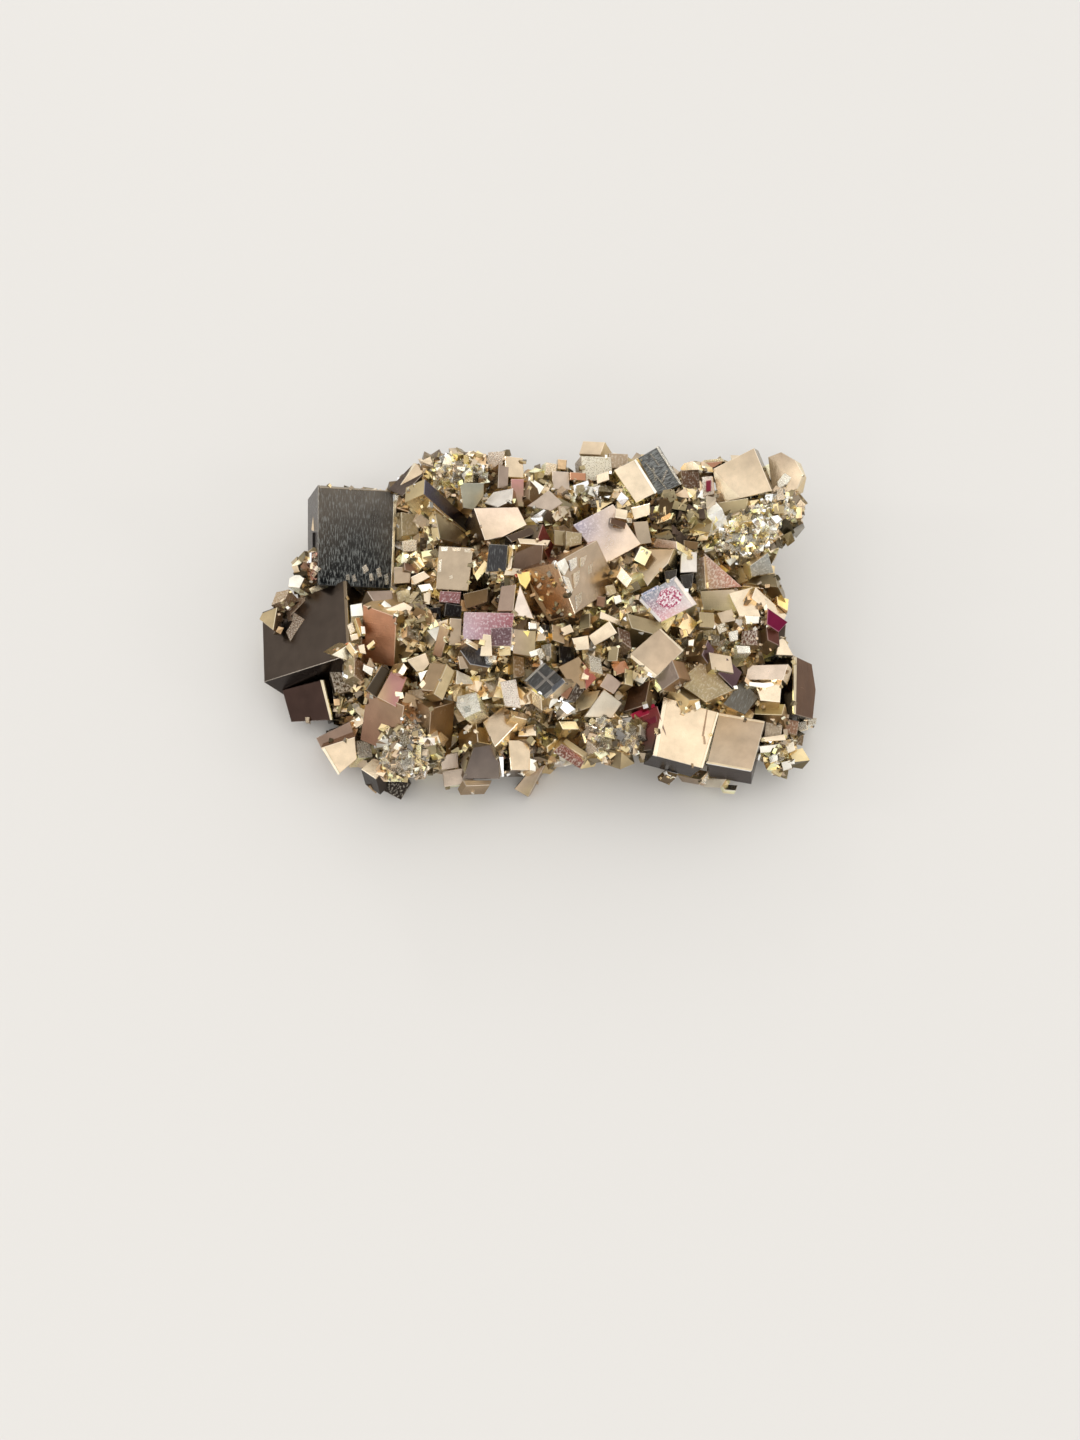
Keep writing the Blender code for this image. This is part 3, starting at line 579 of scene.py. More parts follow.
LEFT_END = (
    Facet("slate_cube", ((318, 485), (396, 491), (392, 589), (318, 585)), 15.5, 12.0, (Tone(96, 88, 79, 0.5),
          Tone(100, 93, 85, 0.5), Tone(15, 20, 25, 0.8), Tone(5, 7, 9, 0.7)), DARK, SLATE, ratio=0.78),
    Facet("slate_side", ((314, 507), (317, 506), (316, 532), (311, 530)), 14.6, 2.0, CHAMPAGNE, UMBER,
          ratio=0.2),
    # slate_gap is a black sheet in the gap beside the slate cube: painted shade.
    Facet("slate_gap", ((312, 532), (316, 532), (317, 556), (312, 556)), 14.2, 2.0, BLACK, BLACK, ratio=0.2),
    # dark_cube's face is painted dark: painted reflection of dark surroundings on the same brassy metal.
    Facet("dark_cube", ((262, 612), (345, 580), (349, 655), (264, 682)), 11.0, 13.0, Tone(72, 62, 54, 0.0),
          Tone(40, 33, 29), ratio=1.2),
    Facet("left_tan", ((276, 592), (289, 589), (285, 599), (271, 605)), 12.6, 3.0, TAN.lit(0.95), BROWN,
          SUGAR),
    Facet("lower_cube", ((321, 680), (282, 690), (291, 722), (331, 720)), 5.5, 7.0, Tone(64, 48, 42, 0.0),
          DARK, ratio=1.2),
    Facet("lower_side", ((323, 680), (355, 676), (354, 712), (332, 719)), 5.4, 5.0, Tone(70, 56, 46, 0.5),
          BLACK, ETCHED),
    Facet("left_white", ((289, 578), (298, 573), (304, 578), (299, 588), (288, 587)), 13.0, 3.5,
          WHITE.lit(0.95), BEIGE),
    Facet("left_fin", ((277, 607), (262, 613), (259, 619), (273, 630)), 11.6, 2.0, KHAKI.lit(1.15), UMBER),
    # flash is painted near white: a painted highlight.
    Facet("flash", ((348, 645), (355, 664), (332, 655)), 15.6, 4.0, Tone(255, 246, 220, 0.0), GOLD),
    Facet("flash_rim", ((349, 642), (351, 646), (333, 654), (333, 650)), 15.4, 2.0, Tone(198, 104, 58),
          COPPER),
    Facet("collar_white", ((350, 605), (362, 603), (364, 616), (351, 617)), 17.5, 2.0, WHITE, BEIGE),
    Facet("collar_dark", ((351, 617), (363, 616), (361, 660), (350, 644)), 16.4, 3.0, (KHAKI, OLIVE, BRONZE,
          OLIVE), OLIVE, ETCHED),
    Facet("shard_left", ((347, 625), (352, 622), (355, 631), (350, 635)), 17.6, 1.0, CREAM.lit(1.05), KHAKI,
          SUGAR),
    Facet("shard_low", ((350, 635), (358, 633), (359, 639), (352, 641)), 17.4, 1.2, CREAM, KHAKI),
    Facet("shard_foot", ((349, 642), (358, 644), (363, 652), (357, 653)), 17.2, 1.2, WHITE.lit(0.95), KHAKI),
    Facet("shard_blade", ((353, 619), (355, 618), (361, 636), (358, 638)), 18.0, 0.8, GOLD.lit(0.9), OLIVE,
          ratio=0.2),
    Facet("shard_upright", ((361, 626), (365, 626), (366, 634), (362, 634)), 18.4, 1.0, WHITE.lit(0.95),
          KHAKI),
    Facet("shard_right", ((366, 646), (373, 640), (375, 643), (368, 650)), 18.6, 1.0, STRAW.lit(1.08), KHAKI),
    Facet("shard_end", ((358, 646), (364, 644), (366, 654), (360, 653)), 18.2, 1.0, CREAM, KHAKI),
    Facet("shard_brown", ((355, 656), (366, 664), (363, 682), (354, 676)), 15.9, 3.0, Tone(124, 98, 72),
          OLIVE, ETCHED),
    Facet("lower_grit", ((330, 672), (352, 668), (356, 690), (336, 694)), 9.0, 3.0, Tone(92, 74, 58, 0.7),
          UMBER, ETCHED),
    Facet("copper_cube", ((363, 605), (396, 617), (394, 667), (361, 660)), 17.0, 7.5, (COPPER.lit(1.08),
          COPPER, COPPER.lit(0.92), COPPER), Tone(120, 100, 72), SATIN, near=-1, ratio=0.68),
    Facet("copper_side", ((399, 619), (424, 609), (416, 650), (398, 667)), 15.8, 4.0, Tone(128, 110, 80, 0.4),
          UMBER, SATIN),
    Facet("under_slate", ((367, 591), (392, 590), (394, 604), (376, 605)), 18.0, 5.0, MAUVE, UMBER, SATIN),
    Facet("cream_chip", ((386, 609), (404, 602), (413, 607), (408, 616), (392, 619)), 20.0, 4.0,
          CREAM.lit(1.05), BEIGE),
    Facet("bright_chip", ((364, 664), (374, 668), (372, 676), (363, 670)), 16.2, 3.0, WHITE.lit(0.9), UMBER),
)

FRONT_LEFT = (
    Facet("brown_cube", ((367, 690), (404, 706), (396, 755), (360, 740)), 12.5, 9.0, (Tone(152, 122, 100),
          Tone(158, 130, 104), BROWN.lit(1.3), Tone(126, 94, 76)), BROWN, near=-1, ratio=0.9),
    Facet("brown_top", ((391, 671), (407, 677), (396, 707), (377, 697)), 16.4, 5.0, (PINK.lit(0.88),
          PINK.lit(0.95), PINK, TAN), KHAKI),
    Facet("olive_strip", ((382, 665), (390, 671), (377, 698), (366, 690)), 15.9, 1.5, Tone(70, 60, 48),
          KHAKI),
    Facet("brown_right", ((404, 704), (432, 699), (428, 722), (401, 722)), 13.6, 6.0, Tone(166, 138, 108),
          BROWN, SATIN),
    Facet("right_of_pink", ((408, 690), (428, 688), (430, 698), (404, 700)), 14.6, 5.0, BEIGE.lit(0.95),
          KHAKI, ETCHED),
    Facet("corner_cube", ((321, 748), (355, 737), (357, 759), (338, 775)), 6.8, 8.5, (CHAMPAGNE, CHAMPAGNE,
          CHAMPAGNE.lit(1.05), CHAMPAGNE.lit(1.02)), BROWN, near=-1),
    Facet("corner_top", ((316, 738), (350, 721), (355, 737), (321, 748)), 6.8, 6.0, Tone(142, 118, 102),
          BROWN),
    Facet("corner_break", ((356, 740), (370, 742), (373, 757), (359, 758)), 6.4, 5.0, SILVER, KHAKI, SUGAR),
    Facet("pentagon", ((373, 758), (387, 761), (383, 772), (376, 779), (361, 769)), 8.0, 4.0, CREAM.lit(0.97),
          DARK),
    # skirt_dark is the front foot side painted near black: painted shadow.
    Facet("skirt_dark", ((392, 774), (411, 784), (401, 800), (382, 790)), 3.5, 6.0, DARK, BLACK, ETCHED,
          near=-1),
    Facet("bronze_slab", ((431, 709), (455, 702), (451, 758), (427, 764)), 12.0, 4.5, (Tone(118, 90, 62),
          Tone(126, 96, 66), Tone(176, 138, 84, 0.6), Tone(160, 122, 80, 0.6)), UMBER, SATIN, near=-1,
          ratio=0.5),
    Facet("orange_side", ((406, 692), (431, 703), (426, 712), (402, 702)), 14.9, 6.0, TAN.lit(0.9), BROWN,
          SATIN),
    Facet("front_beige", ((441, 756), (458, 752), (459, 768), (442, 770)), 7.2, 6.0, ROSE.lit(0.92), BEIGE,
          SATIN, near=-1),
    Facet("front_foot", ((442, 771), (462, 768), (476, 782), (444, 787)), 6.0, 4.0, ROSE.lit(0.88), TAUPE,
          SATIN),
    Facet("grey_cube", ((475, 742), (497, 745), (500, 779), (463, 779)), 8.7, 8.0, (Tone(96, 86, 80),
          Tone(104, 92, 86), Tone(124, 112, 102), Tone(112, 100, 92)), UMBER, near=-1),
    Facet("grey_side", ((476, 722), (482, 724), (475, 745), (466, 776), (460, 764)), 9.2, 5.0, (OLIVE, KHAKI,
          GOLD.lit(0.7), STRAW.lit(0.7), UMBER), UMBER, SATIN),
    Facet("grey_ledge", ((463, 780), (492, 780), (490, 785), (466, 786)), 7.0, 3.0, TAUPE, UMBER, SATIN),
    Facet("champagne_block", ((508, 740), (531, 740), (530, 770), (511, 770)), 10.0, 6.5, CHAMPAGNE, UMBER),
    Facet("block_brown", ((510, 735), (530, 736), (531, 740), (508, 740)), 10.6, 4.0, BRONZE, UMBER,
          ratio=4.0),
    Facet("block_top", ((519, 727), (535, 724), (536, 736), (518, 736)), 11.4, 4.0, CREAM.lit(1.05), STRAW),
    Facet("block_white", ((530, 758), (537, 760), (536, 771), (530, 770)), 9.6, 3.5, WHITE.lit(0.92), BEIGE),
    Facet("beige_slab", ((503, 706), (523, 718), (495, 747), (483, 722)), 13.2, 4.5, BEIGE.lit(1.04),
          STRAW.lit(0.8)),
    Facet("beige_left", ((475, 713), (484, 722), (494, 745), (478, 742)), 12.0, 4.0, TAUPE, OLIVE),
    Facet("cream_ledge", ((511, 710), (530, 714), (529, 720), (512, 716)), 14.2, 3.0, CREAM, KHAKI,
          ratio=2.8),
    Facet("silver_tall", ((500, 682), (516, 679), (521, 708), (505, 706)), 16.8, 3.5, Tone(220, 206, 194,
          0.4), KHAKI, SUGAR),
    Facet("silver_cube", ((457, 696), (476, 692), (481, 710), (464, 718), (456, 706)), 16.5, 4.5, Tone(206,
          202, 190, 0.6), BEIGE, SUGAR),
    Facet("tan_cube", ((458, 656), (470, 655), (471, 668), (460, 669)), 19.2, 4.0, TAUPE, BROWN),
    Facet("silver_bit", ((457, 670), (470, 676), (474, 684), (456, 684)), 18.0, 4.0, SILVER, KHAKI, ETCHED),
    Facet("long_tan", ((430, 663), (446, 664), (437, 691), (421, 690)), 18.8, 6.0, TAN.lit(0.85), BROWN,
          SATIN),
    Facet("long_khaki", ((447, 664), (455, 671), (443, 700), (434, 694)), 18.9, 4.0, KHAKI.lit(1.1), OLIVE,
          SATIN),
    Facet("khaki_leaf", ((448, 668), (456, 670), (452, 684), (440, 686)), 18.2, 3.0, GOLD.lit(0.66), OLIVE),
    Facet("cream_kite", ((426, 653), (430, 664), (424, 671), (417, 672), (407, 660)), 18.6, 5.0, CHAMPAGNE,
          STRAW),
    Facet("cream_foot", ((418, 673), (428, 670), (421, 683)), 18.3, 3.0, WHITE, STRAW),
    Facet("cream_left", ((404, 663), (408, 668), (403, 676), (398, 673)), 18.0, 3.0, ROSE, STRAW),
    Facet("front_spike", ((528, 797), (514, 789), (530, 770), (545, 765)), 3.5, 5.0, (KHAKI, TAUPE, TAUPE,
          MAUVE), UMBER),
)

FRONT_MIDDLE = (
    Facet("red_roof", ((562, 744), (586, 759), (580, 769), (553, 752)), 9.5, 6.0, Tone(116, 72, 60, 0.5),
          KHAKI, ETCHED, near=-1),
    Facet("red_crest", ((566, 738), (588, 753), (585, 758), (562, 743)), 10.2, 3.0, KHAKI.lit(1.15), OLIVE,
          SATIN, ratio=4.0),
    Facet("gold_facet", ((547, 747), (560, 737), (563, 741), (548, 753)), 9.8, 4.0, STRAW.lit(1.1), KHAKI,
          near=-1, ratio=2.6),
    Facet("yellow_cream", ((559, 721), (576, 721), (580, 729), (563, 729)), 13.0, 3.0, STRAW.lit(1.1), OLIVE),
    Facet("roof_bit", ((586, 739), (599, 751), (592, 760), (586, 753)), 11.8, 3.0, ROSE, UMBER, SUGAR,
          near=-1, ratio=1.4),
    Facet("orange_foot", ((626, 751), (608, 755), (618, 764), (624, 765)), 7.2, 4.0, COPPER.lit(1.05), UMBER,
          near=-1),
    Facet("grey_facet", ((604, 689), (622, 703), (612, 718), (584, 717)), 14.6, 6.0, (SILVER.lit(0.95),
          SILVER.lit(0.9), BEIGE, SILVER), KHAKI, SATIN),
    Facet("khaki_bit", ((577, 693), (600, 690), (594, 706), (575, 712)), 14.4, 5.0, KHAKI.lit(1.12), OLIVE,
          SATIN),
    Facet("cream_sliver", ((556, 695), (559, 700), (550, 709), (547, 703)), 15.4, 4.0, WHITE.lit(0.94),
          KHAKI),
    Facet("beige_bit", ((531, 690), (541, 697), (542, 711), (532, 704)), 16.8, 2.5, CHAMPAGNE, KHAKI,
          near=-1),
    Facet("gridded_cube", ((544, 662), (565, 680), (545, 698), (524, 680)), 18.2, 7.0, Tone(70, 68, 66, 0.4),
          STEEL, SLATE),
    Facet("gridded_rim", ((545, 692), (562, 678), (565, 682), (547, 698)), 18.5, 2.0, Tone(96, 98, 104, 0.5),
          STEEL, SLATE, ratio=4.0),
    Facet("red_gable", ((579, 656), (584, 664), (586, 688), (573, 690), (558, 667)), 17.6, 7.0, TAN.lit(0.92),
          BRONZE),
    Facet("red_side", ((597, 678), (583, 662), (586, 690)), 17.8, 3.0, Tone(158, 92, 78), BRONZE),
    Facet("gable_dark", ((577, 683), (585, 690), (575, 702), (568, 700)), 16.4, 3.0, UMBER, DARK, ETCHED),
    Facet("gable_foot", ((561, 678), (577, 682), (568, 700), (558, 694)), 16.6, 3.0, COPPER.lit(0.78),
          BRONZE),
    Facet("grey_white", ((589, 655), (601, 658), (603, 674), (591, 671)), 18.6, 5.0, SILVER, KHAKI, SUGAR),
    Facet("orange_tan", ((611, 664), (625, 660), (631, 671), (616, 675)), 17.2, 5.0, COPPER, BRONZE),
    Facet("green_bit", ((609, 646), (619, 646), (617, 661), (607, 661)), 19.4, 5.0, KHAKI, OLIVE),
    Facet("beige_stub", ((625, 668), (633, 670), (633, 686), (625, 684)), 17.0, 5.0, STRAW.lit(0.85), OLIVE,
          SATIN),
    Facet("pink_stub", ((608, 672), (622, 683), (614, 694), (600, 686)), 16.4, 5.0, MAUVE.lit(1.2), BRONZE,
          SATIN),
    Facet("brown_stub", ((629, 688), (650, 680), (645, 705), (623, 712)), 13.9, 4.0, BROWN, UMBER, SATIN),
    Facet("crimson_cube", ((631, 717), (657, 706), (668, 740), (652, 750), (642, 751)), 12.6, 7.0, (Tone(120,
          40, 48), Tone(110, 44, 44), Tone(104, 82, 62), UMBER, UMBER), UMBER),
    Facet("crimson_rim", ((630, 714), (654, 703), (658, 710), (634, 720)), 13.4, 2.0, Tone(136, 30, 50),
          PINK),
    Facet("crimson_left", ((618, 722), (631, 715), (638, 748), (628, 744)), 11.7, 3.0, PLUM.lit(0.85), UMBER,
          ETCHED),
    Facet("cream_bar", ((588, 636), (609, 621), (617, 633), (594, 646)), 20.4, 3.0, (CREAM, CREAM,
          CREAM.lit(1.05), BEIGE), OLIVE),
    Facet("cream_knob", ((572, 638), (588, 635), (590, 649), (576, 650)), 20.0, 4.0, CREAM, OLIVE),
    Facet("tan_diamond", ((660, 628), (684, 650), (655, 678), (628, 655)), 20.0, 8.0, (TAUPE.lit(1.14),
          TAUPE.lit(1.1), TAUPE.lit(1.2), BEIGE), CREAM),
    Facet("mauve_brown", ((672, 660), (679, 678), (662, 690), (655, 678)), 18.8, 3.5, MAUVE.lit(0.8), BROWN,
          SATIN, near=-1),
)

FRONT_RIGHT = (
    # The twins' dark flanks are painted shade on their sides that face down and forward.
    Facet("twin_left", ((664, 697), (718, 712), (702, 768), (653, 755)), 12.5, 5.5, CHAMPAGNE.worn(0.1),
          Tone(38, 30, 27), ratio=0.9),
    Facet("twin_right", ((719, 712), (765, 721), (752, 770), (707, 762)), 12.0, 6.0, (TAN.lit(1.0),
          TAUPE.lit(1.08), TAUPE.lit(1.12), BEIGE), Tone(38, 30, 27), ratio=0.82),
    Facet("khaki_cube", ((703, 660), (733, 690), (706, 702), (676, 682)), 14.8, 5.0, (TAN.lit(0.95), KHAKI,
          KHAKI.lit(1.15), STRAW.lit(0.95)), OLIVE, ETCHED),
    Facet("khaki_rim", ((664, 680), (676, 682), (700, 699), (690, 700)), 14.0, 3.0, KHAKI, OLIVE, SATIN),
    Facet("purple_cube", ((727, 658), (742, 672), (735, 690), (718, 673)), 16.3, 4.0, PLUM, UMBER),
    Facet("etched_cube", ((742, 680), (759, 697), (745, 715), (723, 704)), 12.8, 6.0, Tone(104, 98, 88, 0.5),
          OLIVE, SLATE),
    Facet("pink_white", ((748, 665), (788, 664), (783, 680), (745, 680)), 14.4, 3.0, ROSE.lit(1.0), BEIGE),
    Facet("white_ridge", ((745, 681), (768, 684), (782, 680), (781, 684), (766, 688), (746, 685)), 14.6, 1.0,
          WHITE, BEIGE),
    Facet("pink_white_low", ((755, 684), (782, 679), (780, 702), (760, 700)), 14.2, 4.0, CREAM.lit(1.02),
          BEIGE, ratio=1.4),
    Facet("right_cube", ((795, 656), (812, 664), (816, 690), (813, 719), (794, 714)), 10.0, 8.0, (BROWN,
          BROWN.lit(1.1), BROWN.lit(1.15), BROWN, BROWN), DARK, ratio=0.5),
    Facet("right_side", ((785, 660), (794, 656), (793, 713), (784, 704)), 10.2, 4.0, Tone(52, 48, 38, 0.4),
          BLACK, ETCHED),
    Facet("gold_ledge", ((756, 703), (785, 704), (782, 715), (754, 714)), 12.4, 4.0, GOLD.lit(0.72), BRONZE,
          SATIN, ratio=2.2),
    Facet("fragment_plate", ((677, 775), (700, 780), (699, 785), (682, 782)), 5.0, 2.0, TAUPE, TAUPE, SATIN,
          near=-1, ratio=4.0),
    Facet("fragment_grey", ((702, 777), (726, 779), (720, 788), (703, 787)), 4.6, 2.0, SILVER.lit(0.9), TAUPE,
          SATIN, near=-1, ratio=2.6),
    Facet("fragment_end", ((722, 784), (738, 785), (736, 791), (725, 790)), 4.2, 1.0, SILVER.lit(0.95),
          TAUPE),
    Facet("fragment_white", ((665, 770), (678, 774), (676, 778), (666, 774)), 6.0, 2.0, WHITE.lit(0.9), UMBER,
          ratio=3.4),
    Facet("fragment_bits", ((703, 771), (709, 773), (706, 784), (701, 782)), 6.6, 2.0, WHITE.lit(0.92), BROWN,
          SUGAR),
    Facet("tip_upper", ((808, 717), (817, 718), (816, 724), (808, 725)), 5.0, 4.0, SILVER, BEIGE, SUGAR),
    Facet("tip_lower", ((797, 722), (806, 721), (807, 729), (798, 731)), 6.0, 4.0, SILVER, BEIGE, SUGAR),
    Facet("brown_ledge", ((785, 718), (799, 721), (797, 735), (783, 732)), 8.8, 5.0, BROWN.lit(1.3), UMBER,
          ETCHED, ratio=1.0),
    Facet("cream_flake", ((759, 746), (777, 744), (773, 752), (760, 753)), 9.6, 3.0, WHITE.lit(0.95), STRAW),
    Facet("cream_ray", ((762, 737), (784, 734), (786, 740), (763, 742)), 10.0, 2.0, CREAM.lit(1.05), KHAKI),
    Facet("druse_white", ((768, 756), (779, 752), (782, 759), (770, 763)), 8.6, 2.0, WHITE, STRAW),
    Facet("druse_silver", ((784, 745), (793, 741), (795, 750), (787, 754)), 8.4, 2.0, SILVER.lit(1.1), KHAKI),
    Facet("druse_end", ((781, 762), (790, 760), (792, 768), (783, 771)), 7.6, 2.0, WHITE.lit(0.95), KHAKI),
    Facet("side_ledge", ((766, 719), (783, 721), (781, 737), (764, 738)), 9.8, 6.0, BEIGE.lit(0.9), OLIVE,
          ETCHED),
)

MIDDLE_LEFT = (
    # hollow_left is a black sheet in a hollow: painted shade.
    Facet("hollow_left", ((428, 608), (440, 607), (441, 620), (429, 620)), 18.2, 2.0, BLACK, DARK, SLATE),
    Facet("hollow_edge", ((421, 622), (428, 624), (427, 638), (421, 637)), 17.4, 2.0, Tone(70, 66, 48), OLIVE,
          ETCHED),
    Facet("tan_arch", ((438, 622), (448, 619), (448, 630), (440, 632)), 20.0, 2.0, CHAMPAGNE, OLIVE),
    Facet("khaki_roots", ((396, 592), (409, 588), (411, 600), (398, 603)), 18.3, 2.5, (KHAKI, STRAW, OLIVE,
          KHAKI), OLIVE, ETCHED),
    Facet("purple_slab", ((464, 612), (514, 613), (512, 628), (491, 640), (462, 640)), 21.0, 8.0, (Tone(176,
          150, 152), Tone(160, 102, 106), Tone(150, 92, 96), Tone(156, 104, 110), Tone(172, 152, 160)), PLUM,
          BLOOM),
    Facet("purple_square", ((491, 628), (512, 627), (511, 646), (491, 646)), 22.4, 4.0,
          PLUM.lit(1.15).worn(0.2), LILAC, BLOOM),
    Facet("white_post", ((483, 634), (491, 635), (492, 656), (480, 656)), 22.4, 5.0, CREAM, TAUPE),
    Facet("yellow_grey", ((514, 629), (536, 631), (535, 657), (513, 653)), 20.3, 6.0, (TAUPE, KHAKI.lit(1.15),
          KHAKI, TAUPE), OLIVE, SATIN),
    Facet("grey_stub", ((541, 645), (551, 643), (551, 658), (541, 660)), 19.0, 4.0, STEEL, OLIVE, ETCHED),
    Facet("beige_bead", ((537, 631), (547, 630), (545, 640), (535, 641)), 20.2, 4.0, BEIGE, KHAKI),
    Facet("white_bead", ((529, 622), (537, 623), (537, 629), (529, 629)), 21.4, 4.0, WHITE, BEIGE),
    Facet("tan_bead", ((552, 624), (564, 628), (565, 644), (553, 640)), 19.2, 5.0, TAN.lit(0.9), OLIVE,
          SATIN),
    Facet("white_bar", ((467, 638), (479, 645), (478, 650), (466, 643)), 21.4, 2.5, WHITE, MAUVE, ratio=2.6),
    Facet("dark_etched", ((460, 650), (484, 647), (492, 668), (470, 664)), 19.4, 3.0, Tone(74, 74, 80, 0.6),
          UMBER, SLATE),
    Facet("cream_nugget", ((498, 648), (511, 647), (511, 655), (499, 656)), 19.8, 3.0, STRAW.lit(1.05),
          KHAKI),
    Facet("white_drop", ((488, 654), (497, 656), (495, 663), (489, 662)), 20.0, 2.0, WHITE, MIST, SUGAR),
    Facet("round_brown", ((513, 655), (524, 657), (525, 676), (514, 678)), 17.8, 4.0, BRONZE.lit(1.1), OLIVE,
          ETCHED),
    Facet("lilac_brown", ((440, 624), (449, 630), (441, 658), (432, 655)), 19.6, 4.0, (TAN, TAN.lit(0.9),
          BROWN.lit(1.3), BROWN.lit(1.4)), OLIVE, SATIN, near=-1),
    Facet("tan_post", ((450, 618), (462, 619), (461, 646), (449, 645)), 20.2, 5.0, TAUPE, OLIVE, SATIN),
    Facet("textured_square", ((439, 546), (473, 548), (468, 591), (436, 589)), 21.0, 7.0,
          BEIGE.lit(0.95).worn(0.55), UMBER, ratio=0.78),
    Facet("square_foot", ((440, 591), (461, 592), (460, 604), (439, 602)), 19.6, 3.0, Tone(128, 86, 84),
          UMBER, BLOOM),
    Facet("pale_cream_left", ((411, 577), (424, 571), (431, 577), (415, 585)), 19.5, 5.0, CREAM, BEIGE),
    Facet("grey_beige", ((394, 567), (411, 567), (410, 583), (394, 584)), 17.5, 6.0, TAUPE, BROWN, SATIN),
    Facet("mauve_bit", ((404, 562), (420, 566), (419, 574), (405, 570)), 18.2, 3.0, BROWN.lit(1.15), UMBER,
          SATIN),
    Facet("plate_upper", ((410, 557), (413, 555), (424, 567), (421, 569)), 18.9, 1.4, STRAW.lit(1.15), KHAKI,
          ratio=0.3),
    Facet("plate_lower", ((416, 551), (418, 550), (427, 564), (425, 566)), 18.9, 1.4, STRAW.lit(1.15), KHAKI,
          ratio=0.3),
    Facet("white_cream", ((418, 585), (430, 583), (434, 590), (422, 592)), 19.5, 4.0, WHITE, BEIGE),
    Facet("cream_stem", ((423, 593), (431, 592), (430, 605), (424, 604)), 19.0, 3.0, CREAM.lit(0.95), KHAKI),
    Facet("brown_bit", ((463, 594), (488, 588), (487, 602), (466, 609)), 20.2, 6.0, BRONZE.lit(0.9), UMBER,
          SATIN),
    # black_step is a black sheet in a step between crystals: painted shade.
    Facet("black_step", ((446, 603), (462, 606), (461, 618), (444, 616)), 19.2, 4.0, BLACK, DARK, SLATE),
    Facet("small_slate", ((489, 544), (508, 545), (506, 571), (486, 572)), 21.3, 7.0, Tone(62, 60, 60, 0.4),
          CHAMPAGNE, SLATE),
    Facet("slate_rim", ((509, 544), (514, 543), (511, 568), (507, 570)), 21.2, 3.0, CHAMPAGNE, KHAKI,
          ratio=0.2),
    Facet("brown_square", ((516, 543), (543, 545), (541, 574), (512, 569)), 21.6, 7.0, (Tone(118, 98, 82),
          Tone(104, 82, 66), Tone(92, 72, 58), Tone(84, 66, 54)), UMBER, SATIN),
    Facet("square_crest", ((518, 538), (551, 540), (548, 545), (520, 543)), 22.4, 3.0, CHAMPAGNE, KHAKI,
          ratio=5.0),
    # gold_flash is painted bright gold: a painted highlight.
    Facet("gold_flash", ((517, 573), (530, 571), (531, 580), (526, 589), (520, 583)), 22.2, 4.0, Tone(255,
          222, 140, 0.0), GOLD),
    Facet("flash_red", ((514, 574), (530, 569), (530, 572), (516, 577)), 22.1, 1.5, Tone(168, 72, 44), BROWN,
          ratio=4.0),
    Facet("lilac_tan", ((501, 586), (516, 584), (513, 611), (497, 611)), 21.8, 5.0, Tone(156, 134, 118),
          KHAKI),
    Facet("white_wedge", ((513, 615), (520, 585), (534, 619)), 22.3, 3.5, Tone(232, 214, 198, 0.0), BEIGE),
)

